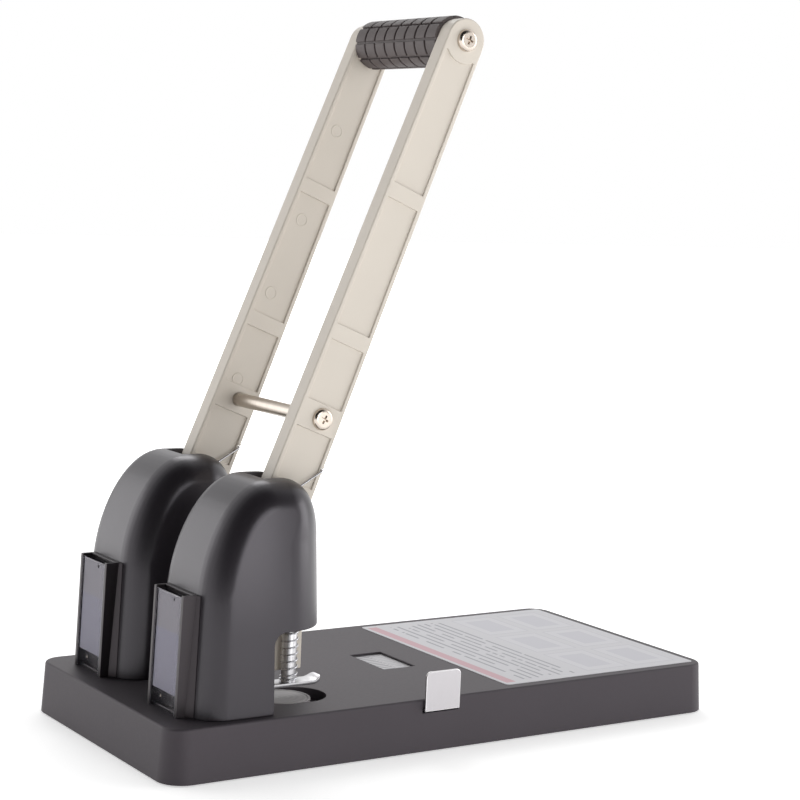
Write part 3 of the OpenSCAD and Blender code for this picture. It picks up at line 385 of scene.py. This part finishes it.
def crown_sides(material):
    """Tilts the shading of the covers' sides as a slight crown does, across them and towards their tops."""
    tree = material.node_tree
    grain = next(node for node in tree.nodes if node.type == "BUMP")
    place = next(node for node in tree.nodes if node.type == "TEX_COORD").outputs["Object"]
    split = add(tree, "ShaderNodeSeparateXYZ", {"Vector": place})
    along = add(tree, "ShaderNodeMath", {0: split.outputs["X"], 1: CROWN_X * MM}, operation="SUBTRACT")
    along = add(tree, "ShaderNodeMath", {0: along.outputs[0], 1: 2.0}, operation="POWER")
    fall = -1 / (2 * CROWN_R * MM)
    along = add(tree, "ShaderNodeMath", {0: along.outputs[0], 1: fall}, operation="MULTIPLY")
    above = add(tree, "ShaderNodeMath", {0: split.outputs["Z"], 1: CROWN_Z * MM}, operation="SUBTRACT")
    above = add(tree, "ShaderNodeMath", {0: above.outputs[0], 1: 0.0}, operation="MAXIMUM")
    above = add(tree, "ShaderNodeMath", {0: above.outputs[0], 1: 2.0}, operation="POWER")
    fall = -1 / (2 * CROWN_TOP_R * MM)
    above = add(tree, "ShaderNodeMath", {0: above.outputs[0], 1: fall}, operation="MULTIPLY")
    swell = add(tree, "ShaderNodeMath", {0: along.outputs[0], 1: above.outputs[0]}, operation="ADD")
    tilt = add(tree, "ShaderNodeBump", {"Height": swell.outputs[0], "Distance": 1.0, "Strength": 1.0})
    tree.links.new(tilt.outputs[0], grain.inputs["Normal"])


crown_sides(cover_abs)


DISC_X = -80.0


def turned_disc():
    """Grey acetal: matt, with rings left by the facing cut around each disc's middle."""
    material, tree, shader, place = start("turned_acetal_grey")
    centred = add(tree, "ShaderNodeMapping", {"Vector": place, "Location": (-DISC_X * MM, 0.0, 0.0)})
    split = add(tree, "ShaderNodeSeparateXYZ", {"Vector": centred.outputs[0]})
    across = add(tree, "ShaderNodeMath", {0: split.outputs["Y"]}, operation="ABSOLUTE")
    offset = add(
        tree, "ShaderNodeMath", {0: across.outputs[0], 1: SIDES["far"] * MM}, operation="SUBTRACT"
    )
    round_place = add(tree, "ShaderNodeCombineXYZ", {"X": split.outputs["X"], "Y": offset.outputs[0]})
    rings = add(
        tree,
        "ShaderNodeTexWave",
        {"Vector": round_place.outputs[0], "Scale": each(9), "Distortion": 1.2, "Detail": 2.0},
        wave_type="RINGS",
        rings_direction="Z",
    )
    scuff = add(tree, "ShaderNodeTexNoise", {"Vector": place, "Scale": each(2.5), "Detail": 4.0})
    mixed = add(
        tree,
        "ShaderNodeMix",
        {0: 0.45, 2: scuff.outputs["Fac"], 3: rings.outputs["Fac"]},
        data_type="FLOAT",
    )
    colour = add(
        tree,
        "ShaderNodeMix",
        {0: mixed.outputs[0], 6: rgba("#a29e9f"), 7: rgba("#8b8788")},
        data_type="RGBA",
    )
    bump = add(tree, "ShaderNodeBump", {"Height": mixed.outputs[0], "Distance": 0.02 * MM})
    tree.links.new(colour.outputs[2], shader.inputs["Base Color"])
    tree.links.new(bump.outputs[0], shader.inputs["Normal"])
    shader.inputs["Roughness"].default_value = 0.5
    shader.inputs["IOR"].default_value = 1.48
    return material


def clear_acrylic():
    """Clear moulded acrylic: glassy, with hairline scuffs that dull it in places."""
    material, tree, shader, place = start("moulded_acrylic_clear")
    drawn = add(tree, "ShaderNodeMapping", {"Vector": place, "Scale": (1.0, 1.0, 0.1)})
    scuffs = add(
        tree, "ShaderNodeTexNoise", {"Vector": drawn.outputs[0], "Scale": each(1.2), "Detail": 5.0}
    )
    gloss = add(
        tree,
        "ShaderNodeMapRange",
        {"Value": scuffs.outputs["Fac"], "From Min": 0.45, "From Max": 0.8, "To Min": 0.04, "To Max": 0.22},
    )
    tree.links.new(gloss.outputs[0], shader.inputs["Roughness"])
    shader.inputs["Base Color"].default_value = rgba("#8e8c96")
    shader.inputs["Alpha"].default_value = 0.035
    shader.inputs["IOR"].default_value = 1.49
    return material


CARD_SPLIT_Z = 62.0


def grey_card():
    """Coated card behind the clear front: a grey head and a cooler lower panel, both bare."""
    material, tree, shader, place = start("coated_card_grey")
    split = add(tree, "ShaderNodeSeparateXYZ", {"Vector": place})
    lower = add(tree, "ShaderNodeMath", {0: split.outputs["Z"], 1: CARD_SPLIT_Z * MM}, operation="LESS_THAN")
    panel = add(
        tree,
        "ShaderNodeMix",
        {0: lower.outputs[0], 6: rgba("#817d84"), 7: rgba("#807e93")},
        data_type="RGBA",
    )
    fibre = add(tree, "ShaderNodeTexNoise", {"Vector": place, "Scale": each(1.1), "Detail": 4.0})
    colour = add(
        tree,
        "ShaderNodeMix",
        {0: fibre.outputs["Fac"], 6: panel.outputs[2], 7: rgba("#74717a")},
        data_type="RGBA",
    )
    bump = add(tree, "ShaderNodeBump", {"Height": fibre.outputs["Fac"], "Distance": 0.01 * MM})
    tree.links.new(colour.outputs[2], shader.inputs["Base Color"])
    tree.links.new(bump.outputs[0], shader.inputs["Normal"])
    shader.inputs["Roughness"].default_value = 0.6
    return material


# Prints are laid out in millimetres along the base (u) and across it (v)


def plan(tree, place):
    """Sockets with u and v."""
    split = add(tree, "ShaderNodeSeparateXYZ", {"Vector": place})
    return [
        add(tree, "ShaderNodeMath", {0: split.outputs[axis], 1: 1 / MM}, operation="MULTIPLY").outputs[0]
        for axis in ("X", "Y")
    ]


def repeat(tree, value, first, pitch):
    """Sockets with the number of the row a value lies in, and its share of the way across that row."""
    ahead = add(tree, "ShaderNodeMath", {0: value, 1: first}, operation="SUBTRACT").outputs[0]
    rows = add(tree, "ShaderNodeMath", {0: ahead, 1: pitch}, operation="DIVIDE").outputs[0]
    return [
        add(tree, "ShaderNodeMath", {0: rows}, operation=part).outputs[0] for part in ("FLOOR", "FRACT")
    ]


def patch(tree, *spans):
    """Socket that is 1 where every value lies between its two limits."""
    inside = 1.0
    for value, (low, high) in spans:
        for limit, side in ((low, "GREATER_THAN"), (high, "LESS_THAN")):
            held = add(tree, "ShaderNodeMath", {0: value, 1: limit}, operation=side).outputs[0]
            inside = add(tree, "ShaderNodeMath", {0: inside, 1: held}, operation="MULTIPLY").outputs[0]
    return inside


def overprint(tree, colour, inks):
    """Lays inks over a colour, one after the other, each where its mask is 1."""
    for mask, ink in inks:
        colour = add(
            tree, "ShaderNodeMix", {0: mask, 6: colour, 7: rgba(ink)}, data_type="RGBA"
        ).outputs[2]
    return colour


# Sheet: a stripe, rows of broken bars, and boxes that each have a line round them and a panel inside

STRIPE_U = (32.2, 37.8)
STRIPE_V = (-63.5, 63.5)
ROW_PITCH = 4.4
ROW_SHARE = (0.0, 0.3)
BARS_U = (41.0, 79.0)
BARS_V = (-61.0, 60.0)
BAR_BREAKS = (7.31, 0.09, 1.0)
BAR_INK = (0.44, 2.0)
BOXES_U = (82.0, 144.0)
BOXES_V = (-63.0, 63.0)
BOX_PITCH_U = 31.0
BOX_PITCH_V = 42.0
BOX_PRINT = [
    ((0.08, 0.92), (0.06, 0.94), "#bebdc4"),
    ((0.1, 0.9), (0.075, 0.925), "#cfced3"),
    ((0.25, 0.75), (0.2, 0.8), "#c4c3ca"),
]


def printed_paper():
    """Coated paper with a generic print: a pink stripe, grey bars in rows, and plain boxes."""
    material, tree, shader, place = start("coated_paper_printed")
    u, v = plan(tree, place)
    # Each row of bars is broken up by a noise of its own
    row_number, row_share = repeat(tree, u, 0.0, ROW_PITCH)
    spot = add(tree, "ShaderNodeCombineXYZ", {"X": row_number, "Y": v})
    stretched = add(tree, "ShaderNodeMapping", {"Vector": spot.outputs[0], "Scale": BAR_BREAKS})
    words = add(tree, "ShaderNodeTexNoise", {"Vector": stretched.outputs[0], "Scale": 1.0, "Detail": 2.0})
    bars = patch(tree, (words.outputs["Fac"], BAR_INK), (row_share, ROW_SHARE), (u, BARS_U), (v, BARS_V))
    stripe = patch(tree, (u, STRIPE_U), (v, STRIPE_V))
    box_u = repeat(tree, u, BOXES_U[0], BOX_PITCH_U)[1]
    box_v = repeat(tree, v, BOXES_V[0], BOX_PITCH_V)[1]
    inks = []
    for span_u, span_v, ink in BOX_PRINT:
        inks.append((patch(tree, (box_u, span_u), (box_v, span_v), (u, BOXES_U), (v, BOXES_V)), ink))
    inks += [(bars, "#94939c"), (stripe, "#c59ba4")]
    fibre = add(tree, "ShaderNodeTexNoise", {"Vector": place, "Scale": each(1.2), "Detail": 4.0})
    paper = add(
        tree,
        "ShaderNodeMix",
        {0: fibre.outputs["Fac"], 6: rgba("#cfced2"), 7: rgba("#c7c6cb")},
        data_type="RGBA",
    )
    bump = add(tree, "ShaderNodeBump", {"Height": fibre.outputs["Fac"], "Distance": 0.004 * MM})
    tree.links.new(overprint(tree, paper.outputs[2], inks), shader.inputs["Base Color"])
    tree.links.new(bump.outputs[0], shader.inputs["Normal"])
    shader.inputs["Roughness"].default_value = 0.42
    return material


# Scale: narrow ticks, a line along it, and wider marks beside the line

TICK_PITCH = 3.0
TICK_SHARE = (0.0, 0.36)
TICK_U = (-5.5, 1.2)
WIDE_SHARE = (0.1, 0.5)
WIDE_U = (3.0, 7.6)
LINE_U = (1.8, 2.2)


def scale_plate():
    """White moulded scale with plain grey ticks across it and a line along it."""
    material, tree, shader, place = start("moulded_scale_white")
    u, v = plan(tree, place)
    share = repeat(tree, v, 0.0, TICK_PITCH)[1]
    inks = [
        (patch(tree, (share, TICK_SHARE), (u, TICK_U)), "#85858c"),
        (patch(tree, (share, WIDE_SHARE), (u, WIDE_U)), "#b0b0b6"),
        (patch(tree, (u, LINE_U)), "#9a9aa1"),
    ]
    grain = add(tree, "ShaderNodeTexNoise", {"Vector": place, "Scale": each(2.0), "Detail": 3.0})
    plastic = add(
        tree,
        "ShaderNodeMix",
        {0: grain.outputs["Fac"], 6: rgba("#cbc9cc"), 7: rgba("#bfbdc0")},
        data_type="RGBA",
    )
    tree.links.new(overprint(tree, plastic.outputs[2], inks), shader.inputs["Base Color"])
    shader.inputs["Roughness"].default_value = 0.45
    return material


disc_acetal = turned_disc()
drawer_acrylic = clear_acrylic()
card_stock = grey_card()
sheet_paper = printed_paper()
scale_white = scale_plate()

SLOT_MATERIAL = {
    "charcoal_base": base_enamel,
    "charcoal_cover": cover_abs,
    "black_plastic": black_abs,
    "clear_plastic": drawer_acrylic,
    "card": card_stock,
    "printed_paper": sheet_paper,
    "scale_plastic": scale_white,
    "cream_paint": cream_coat,
    "zinc_sheet": zinc_plate,
    "mat_rubber": mat_rubber,
    "grip_rubber": grip_rubber,
    "nickel_steel": satin_nickel,
    "bright_screws": bright_nickel,
    "ground_steel": ground_steel,
    "spring_steel": spring_wire,
    "bronze": sinter_bronze,
    "disc_plastic": disc_acetal,
}

# CAD nodes whose shape is right take their finish as they are
for node_name, node in NODES.items():
    node.data.materials.clear()
    node.data.materials.append(SLOT_MATERIAL[SLOT_OF[node_name]])


# Camera at the photograph's viewing angle

lens = bpy.data.cameras.new("photo_view")
lens.lens = 91.052
lens.sensor_width = 36.0
camera = bpy.data.objects.new("photo_view", lens)
camera.location = (-0.54482, -0.83625, 0.26842)
camera.rotation_euler = [math.radians(turn) for turn in (83.658, -2.342, -33.073)]
bpy.context.scene.collection.objects.link(camera)
bpy.context.scene.camera = camera


# Front of the spares boxes: its foot, its lean and the depth of the clear panel

BOX_X = -142.4
BASE_TOP = 25.3
BOX_LEAN = math.radians(2.2)
PANEL_DEPTH = 0.95
PANEL_HALF = 12.0
PANEL_LOW = 26.2
PANEL_HIGH = 78.8
PANEL_RIM = 0.4


def paint_panel_edge_highlights(drawer):
    """Gives the clear panel's narrow edges a painted highlight: the brightness of light carried inside the
    plastic.
    """
    drawer.data.materials.append(painted_panel_edge_highlight)
    for face in drawer.data.polygons:
        middle = face.center / MM
        depth = middle.x - BOX_X - (middle.z - BASE_TOP) * math.tan(BOX_LEAN)
        across = abs(abs(middle.y) - SIDES["far"])
        at_rim = across > PANEL_HALF - PANEL_RIM or not PANEL_LOW < middle.z < PANEL_HIGH
        if depth < PANEL_DEPTH and at_rim and abs(face.normal.x) < 0.8:
            face.material_index = 1


def paint_guide_edge_highlights(guide):
    """Gives the rounded edges of the sheet a painted highlight: a paler metal colour for the gleam of light
    along them.
    """
    guide.data.materials.append(painted_zinc_highlight)
    for face in guide.data.polygons:
        if max(abs(part) for part in face.normal) < 0.98:
            face.material_index = 1


# Eased copies of the castings, mouldings and pressings: name, edge rounding and steps

EASED = {
    "base_shell": ("base_body", 0.3, 2),
    "tower_cover": ("cover", 0.5, 3),
    "punch_frame": ("frame_casting", 0.5, 2),
    "spares_holder": ("holder", 0.3, 2),
    "spares_drawer": ("drawer", 0.2, 2),
    "paper_guide": ("guide_tab", 0.35, 3),
    "guide_scale": ("index_scale", 0.15, 2),
    "pressure_foot": ("foot", 0.3, 3),
    "cutting_disc": ("disc", 0.25, 2),
    "cross_rod": ("tie_rod", 0.3, 2),
    "holder_rivets": ("box_rivets", 0.35, 3),
}
for node_name, (piece_name, width, steps) in EASED.items():
    ends = [""] if node_name in NODES else ["_near", "_far"]
    for end in ends:
        piece = copy_of(node_name + end, piece_name + end)
        bevel_where(piece, standing_out, width, steps)
        shade(piece, flats=node_name != "pressure_foot")
        dress(piece, SLOT_MATERIAL[SLOT_OF[node_name + end]], node_name + end)
        # The drawer's and the guide tab's edge faces get a second, paler material: a painted highlight
        if node_name == "spares_drawer":
            paint_panel_edge_highlights(piece)
        if node_name == "paper_guide":
            paint_guide_edge_highlights(piece)


# Grip: pads raised between ring grooves and long flutes

GRIP_R = 12.0
GRIP_LENGTH = 70.8
GRIP_RINGS = 7
GRIP_FLUTES = 9
GROOVE_W = 1.2
GROOVE_DEPTH = 1.0
FACETS = 7


def grip_pads():
    """Sleeve along Z: six facets of pad and one of flute in each turn of the pattern."""
    pitch = GRIP_LENGTH / (GRIP_RINGS + 1)
    floor_r = GRIP_R - GROOVE_DEPTH
    cuts = []
    for ring in range(1, GRIP_RINGS + 1):
        cuts += [ring * pitch - GROOVE_W / 2, ring * pitch + GROOVE_W / 2]
    cuts.append(GRIP_LENGTH)
    bpy.ops.object.select_all(action="DESELECT")
    bpy.ops.mesh.primitive_circle_add(vertices=GRIP_FLUTES * FACETS, radius=floor_r * MM)
    sleeve = bpy.context.view_layer.objects.active
    first = sleeve.data.vertices[0].co
    facet = 2 * math.pi / (GRIP_FLUTES * FACETS)
    sleeve.rotation_euler = (0, 0, facet / 2 - math.atan2(first.y, first.x))
    bpy.ops.object.transform_apply(location=True, rotation=True)
    bpy.ops.object.mode_set(mode="EDIT")
    bpy.ops.mesh.select_mode(type="EDGE")
    bpy.ops.mesh.select_all(action="SELECT")
    done = 0.0
    for cut in cuts:
        bpy.ops.mesh.extrude_region_move(TRANSFORM_OT_translate={"value": (0, 0, (cut - done) * MM)})
        done = cut
    bpy.ops.mesh.select_mode(type="FACE")
    bpy.ops.mesh.select_all(action="DESELECT")
    work = bmesh.from_edit_mesh(sleeve.data)
    for face in work.faces:
        middle = face.calc_center_median()
        turn = math.degrees(math.atan2(middle.y, middle.x)) % (360 / GRIP_FLUTES)
        flute = min(turn, 360 / GRIP_FLUTES - turn) < math.degrees(facet) / 2
        along = middle.z / MM % pitch
        between_ends = pitch / 2 < middle.z / MM < GRIP_LENGTH - pitch / 2
        ring = min(along, pitch - along) < GROOVE_W / 2 and between_ends
        face.select_set(not flute and not ring)
    bmesh.update_edit_mesh(sleeve.data)
    bpy.ops.mesh.extrude_region_move()
    grow = GRIP_R / floor_r
    bpy.ops.transform.resize(value=(grow, grow, 1.0), center_override=(0, 0, 0))
    bpy.ops.mesh.select_all(action="SELECT")
    bpy.ops.mesh.fill_holes(sides=0)
    bpy.ops.mesh.select_all(action="SELECT")
    bpy.ops.mesh.normals_make_consistent(inside=False)
    bpy.ops.object.mode_set(mode="OBJECT")
    rim = (GRIP_R - 0.1) * MM
    bevel_where(sleeve, lambda edge: max(corner.co.xy.length for corner in edge.verts) > rim, 0.3, 3)
    shade(sleeve, 45)
    return sleeve


grip = grip_pads()
grip.name = "grip"
settle(grip, Vector((0, 0, -GRIP_LENGTH / 2)), (0, 0, 0))
settle(grip, lever_point(ROD_AHEAD, GRIP_UP, 0), (math.pi / 2, ARM_LEAN, 0))
dress(grip, grip_rubber, "grip_sleeve")


# Lever arms: the outline is rounded more than the pockets cast into the faces


def on_outline(edge):
    deep = 5 * MM
    for face in edge.link_faces:
        ys = [corner.co.y for corner in face.verts]
        if max(ys) - min(ys) > deep:
            return True
    return False


def in_pocket(edge):
    return not on_outline(edge)


for side in SIDES:
    arm = copy_of("lever_arm_" + side, "arm_" + side)
    bevel_where(arm, on_outline, 0.8, 3)
    bevel_where(arm, in_pocket, 0.3, 2)
    shade(arm)
    dress(arm, cream_coat, "lever_arm_" + side)


# Round marks left by the ejector pins in the arms' inner pockets

MARK_PLACES = [(6.1, 198.2), (5.7, 150.0), (4.3, 110.2), (4.4, 64.4)]
POCKET_FLOOR = ARM_IN + 1.0
MARK_R = 3.3
MARK_T = 0.6
MARK_RIM = 0.5
MARK_SLOPE = 0.25
MARK_DISH = 0.2
MARK_PROUD = 0.12


def ejector_mark():
    """Shallow dished ring standing a hair proud of the casting, made along Z."""
    bpy.ops.object.select_all(action="DESELECT")
    bpy.ops.mesh.primitive_cylinder_add(vertices=40, radius=MARK_R * MM, depth=MARK_T * MM)
    mark = bpy.context.view_layer.objects.active
    bpy.ops.object.mode_set(mode="EDIT")
    bpy.ops.mesh.select_mode(type="FACE")
    bpy.ops.mesh.select_all(action="DESELECT")
    work = bmesh.from_edit_mesh(mark.data)
    for face in work.faces:
        face.select_set(face.normal.z > 0.9)
    bmesh.update_edit_mesh(mark.data)
    bpy.ops.mesh.inset(thickness=MARK_RIM * MM, depth=0)
    bpy.ops.mesh.inset(thickness=MARK_SLOPE * MM, depth=-MARK_DISH * MM)
    bpy.ops.object.mode_set(mode="OBJECT")
    bevel_where(mark, lambda edge: min(corner.co.z for corner in edge.verts) > 0, 0.08, 2)
    shade(mark)
    return mark


pattern = ejector_mark()
for side, sign in (("near", -1), ("far", 1)):
    for number, (ahead, up) in enumerate(MARK_PLACES):
        mark = twin(pattern, f"ejector_mark_{side}_{number}")
        spot = lever_point(ahead, up, sign * (POCKET_FLOOR + MARK_PROUD))
        settle(mark, spot, (sign * math.pi / 2, 0, 0))
        mark.data.materials.append(cream_coat)
        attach(mark, "lever")
bpy.data.objects.remove(pattern)


# Pan-head screws with a cross recess, one pair through each tie: shares of the head's radius and height

DOME_SHARE = 0.8
CROSS_LENGTH = 1.02
CROSS_WIDTH = 0.24
CROSS_HEIGHT = 1.1
CROSS_TAPER = 0.55


def cross_head(head_r, head_h):
    """Domed head along +Z with its underside at the origin."""
    bpy.ops.object.select_all(action="DESELECT")
    bpy.ops.mesh.primitive_cylinder_add(
        vertices=48, radius=head_r * MM, depth=head_h * MM, location=(0, 0, head_h / 2 * MM)
    )
    head = bpy.context.view_layer.objects.active
    bpy.ops.object.transform_apply(location=True)
    middle = head_h / 2 * MM
    bevel_where(
        head, lambda edge: min(corner.co.z for corner in edge.verts) > middle, DOME_SHARE * head_h, 8
    )
    bpy.ops.object.select_all(action="DESELECT")
    bars = []
    for turn in (0, math.pi / 2):
        bpy.ops.mesh.primitive_cube_add(size=1.0, location=(0, 0, head_h * MM), rotation=(0, 0, turn))
        bar = bpy.context.view_layer.objects.active
        bar.scale = (head_r * CROSS_LENGTH * MM, head_r * CROSS_WIDTH * MM, head_h * CROSS_HEIGHT * MM)
        bpy.ops.object.transform_apply(location=True, rotation=True, scale=True)
        bpy.ops.object.mode_set(mode="EDIT")
        bpy.ops.mesh.select_mode(type="VERT")
        bpy.ops.mesh.select_all(action="DESELECT")
        work = bmesh.from_edit_mesh(bar.data)
        for corner in work.verts:
            corner.select_set(corner.co.z < head_h * MM)
        bmesh.update_edit_mesh(bar.data)
        bpy.ops.transform.resize(value=(CROSS_TAPER, CROSS_TAPER, 1.0), center_override=(0, 0, 0))
        bpy.ops.object.mode_set(mode="OBJECT")
        bars.append(bar)
    for bar in bars:
        recess = head.modifiers.new("recess", "BOOLEAN")
        recess.object = bar
        recess.operation = "DIFFERENCE"
        recess.solver = "EXACT"
        select_only(head)
        bpy.ops.object.modifier_apply(modifier=recess.name)
        bpy.data.objects.remove(bar)
    shade(head, 35)
    return head


# Head radius, head height, place up the arm and turn of the cross
SCREWS = {
    "rod_screws": (5.2, 2.4, ROD_UP, 0.5),
    "grip_screws": (5.3, 2.6, GRIP_UP, 0.35),
}
for node_name, (head_r, head_h, up, turn) in SCREWS.items():
    pattern = cross_head(head_r, head_h)
    heads = []
    for side, sign in (("near", -1), ("far", 1)):
        head = twin(pattern, f"{node_name}_{side}")
        settle(head, lever_point(ROD_AHEAD, up, sign * ARM_OUT), (-sign * math.pi / 2, turn, 0))
        heads.append(head)
    bpy.data.objects.remove(pattern)
    select_only(heads[0])
    heads[1].select_set(True)
    bpy.ops.object.join()
    heads[0].name = node_name + "_pair"
    dress(heads[0], bright_nickel, node_name)


# Springs

PIN_SPRING = {"low": 32.42, "high": 65.28, "r": 3.9, "flare": 0.25, "wire": 0.7, "turns": 11.5}
CLOSE_TURNS = 1.5
CLOSE_PITCH = 1.4
STEPS = 24


def pin_spring_points(y):
    """Compression spring round the foot's sleeve: close turns at both ends and even ones between."""
    s = PIN_SPRING
    low = s["low"] + s["wire"] / 2
    high = s["high"] - s["wire"] / 2
    rise = CLOSE_TURNS * CLOSE_PITCH
    pitch = (high - low - 2 * rise) / (s["turns"] - 2 * CLOSE_TURNS)
    points = []
    for step in range(int(s["turns"] * STEPS) + 1):
        turn = step / STEPS
        if turn < CLOSE_TURNS:
            z = low + turn * CLOSE_PITCH
        elif turn > s["turns"] - CLOSE_TURNS:
            z = high - (s["turns"] - turn) * CLOSE_PITCH
        else:
            z = low + rise + (turn - CLOSE_TURNS) * pitch
        r = s["r"] + s["flare"] * max(0, 1 - turn / CLOSE_TURNS)
        a = turn * 2 * math.pi
        points.append((PIN_X + r * math.cos(a), y + r * math.sin(a), z))
    return points


for side, y in SIDES.items():
    spring = wire("pin_coil_" + side, pin_spring_points(y), PIN_SPRING["wire"] / 2)
    dress(spring, spring_wire, "pin_spring_" + side)
    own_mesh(spring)

RETURN_R = 6.55
RETURN_WIRE = 0.9
RETURN_PITCH = 1.35
LEG_ANGLE = math.radians(29.4)
ARM_FRONT = 18.42
LEG_LENGTH = (ARM_FRONT + RETURN_R * math.sin(LEG_ANGLE + ARM_LEAN)) / math.cos(LEG_ANGLE + ARM_LEAN)
COIL_TURN = math.radians(780.6)
HEAD_TOP = 81.96
COIL_CLEAR = 0.65
HOOK = 3.0
BEND_R = 1.0
BEND_STEPS = 6


def return_spring_points(y):
    """Torsion spring round the pivot: hook and leg on the arm, close turns, and a leg down to the frame."""
    inner_y = y - ARM_OUT + SIDES["far"] - COIL_CLEAR
    coil = []
    count = int(COIL_TURN / (2 * math.pi) * STEPS)
    for step in range(count + 1):
        share = step / count
        a = LEG_ANGLE + math.pi / 2 + COIL_TURN * share
        out = RETURN_PITCH * COIL_TURN / (2 * math.pi) * share
        coil.append(PIVOT + Vector((RETURN_R * math.cos(a), inner_y - out, RETURN_R * math.sin(a))))
    along = Vector((math.cos(LEG_ANGLE), 0, math.sin(LEG_ANGLE)))
    tip = coil[0] + along * LEG_LENGTH
    across = Vector((0, 1, 0))
    bend = [tip + across * HOOK, tip + across * BEND_R]
    for step in range(1, BEND_STEPS):
        a = math.pi / 2 * step / BEND_STEPS
        bend.append(tip + (across * (1 - math.sin(a)) - along * (1 - math.cos(a))) * BEND_R)
    bend.append(tip - along * BEND_R)
    foot = Vector((coil[-1].x, coil[-1].y, HEAD_TOP + 0.1))
    return bend + coil + [foot]


for side, y in SIDES.items():
    spring = wire("return_coil_" + side, return_spring_points(y), RETURN_WIRE / 2)
    spring.data.materials.append(spring_wire)
    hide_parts("return_spring_" + side)
    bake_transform(spring)


# Floor and soft studio light, in metres: floor size, the point the lamps face, and the tent's dark side

FLOOR_SIZE = 12.0
AIM = Vector((-0.05, 0.0, 0.12))
DARK_SIDE = (-0.386, -0.592, 0.707)


def pale_floor():
    material, tree, shader, place = start("pale_studio_floor")
    mottle = add(tree, "ShaderNodeTexNoise", {"Vector": place, "Scale": each(300), "Detail": 3.0})
    colour = add(
        tree,
        "ShaderNodeMix",
        {0: mottle.outputs["Fac"], 6: rgba("#fbfbfb"), 7: rgba("#f6f6f6")},
        data_type="RGBA",
    )
    away = add(tree, "ShaderNodeVectorMath", {0: place}, operation="LENGTH")
    glow = add(
        tree,
        "ShaderNodeMapRange",
        {"Value": away.outputs["Value"], "From Min": 0.15, "From Max": 0.9, "To Min": 0.5, "To Max": 0.9},
    )
    tree.links.new(colour.outputs[2], shader.inputs["Base Color"])
    tree.links.new(colour.outputs[2], shader.inputs["Emission Color"])
    tree.links.new(glow.outputs[0], shader.inputs["Emission Strength"])
    shader.inputs["Roughness"].default_value = 0.9
    shader.inputs["Specular IOR Level"].default_value = 0.0
    return material


bpy.ops.object.select_all(action="DESELECT")
bpy.ops.mesh.primitive_plane_add(size=FLOOR_SIZE)
floor = bpy.context.view_layer.objects.active
floor.name = "floor"
floor.data.materials.append(pale_floor())

world = bpy.data.worlds.new("studio_tent")
bpy.context.scene.world = world
world.use_nodes = True
sky = world.node_tree
sky.nodes.clear()
# A white tent at the sides and the back, dark overhead and on the side that the towers' back corners face
way = add(sky, "ShaderNodeTexCoord", {}).outputs["Generated"]
gap = add(sky, "ShaderNodeVectorMath", {0: way, 1: DARK_SIDE}, operation="DOT_PRODUCT")
depth = add(
    sky,
    "ShaderNodeMapRange",
    {"Value": gap.outputs["Value"], "From Min": 0.28, "From Max": 0.8, "To Min": 1.08, "To Max": 0.02},
    interpolation_type="SMOOTHSTEP",
)
tent = add(sky, "ShaderNodeBackground", {"Strength": depth.outputs[0]})
plain = add(sky, "ShaderNodeBackground", {"Strength": 1.0})
tent.inputs["Color"].default_value = (1, 1, 1, 1)
plain.inputs["Color"].default_value = (1, 1, 1, 1)
ray = add(sky, "ShaderNodeLightPath", {})
seen = add(
    sky, "ShaderNodeMixShader", {0: ray.outputs["Is Camera Ray"], 1: tent.outputs[0], 2: plain.outputs[0]}
)
add(sky, "ShaderNodeOutputWorld", {"Surface": seen.outputs[0]})

# Place, width and height, and power in watts
LIGHTS = {
    "softbox_left_back": ((-1.2, 1.5, 0.4), (1.3, 1.3), 7.0),
    "softbox_front": ((0.05, -2.0, 0.55), (1.1, 1.1), 12.0),
    "softbox_right": ((1.8, -0.7, 0.5), (1.2, 1.2), 10.0),
    "softbox_back_top": ((0.5, 1.4, 1.6), (0.8, 0.8), 7.0),
}
for light_name, (place, (width, height), power) in LIGHTS.items():
    lamp = bpy.data.lights.new(light_name, "AREA")
    lamp.shape = "RECTANGLE"
    lamp.size = width
    lamp.size_y = height
    lamp.energy = power
    light = bpy.data.objects.new(light_name, lamp)
    light.location = place
    aim = AIM - Vector(place)
    light.rotation_euler = aim.to_track_quat("-Z", "Y").to_euler()
    bpy.context.scene.collection.objects.link(light)

bpy.context.scene.view_settings.view_transform = "Standard"
bpy.context.scene.view_settings.look = "None"

bpy.context.view_layer.update()
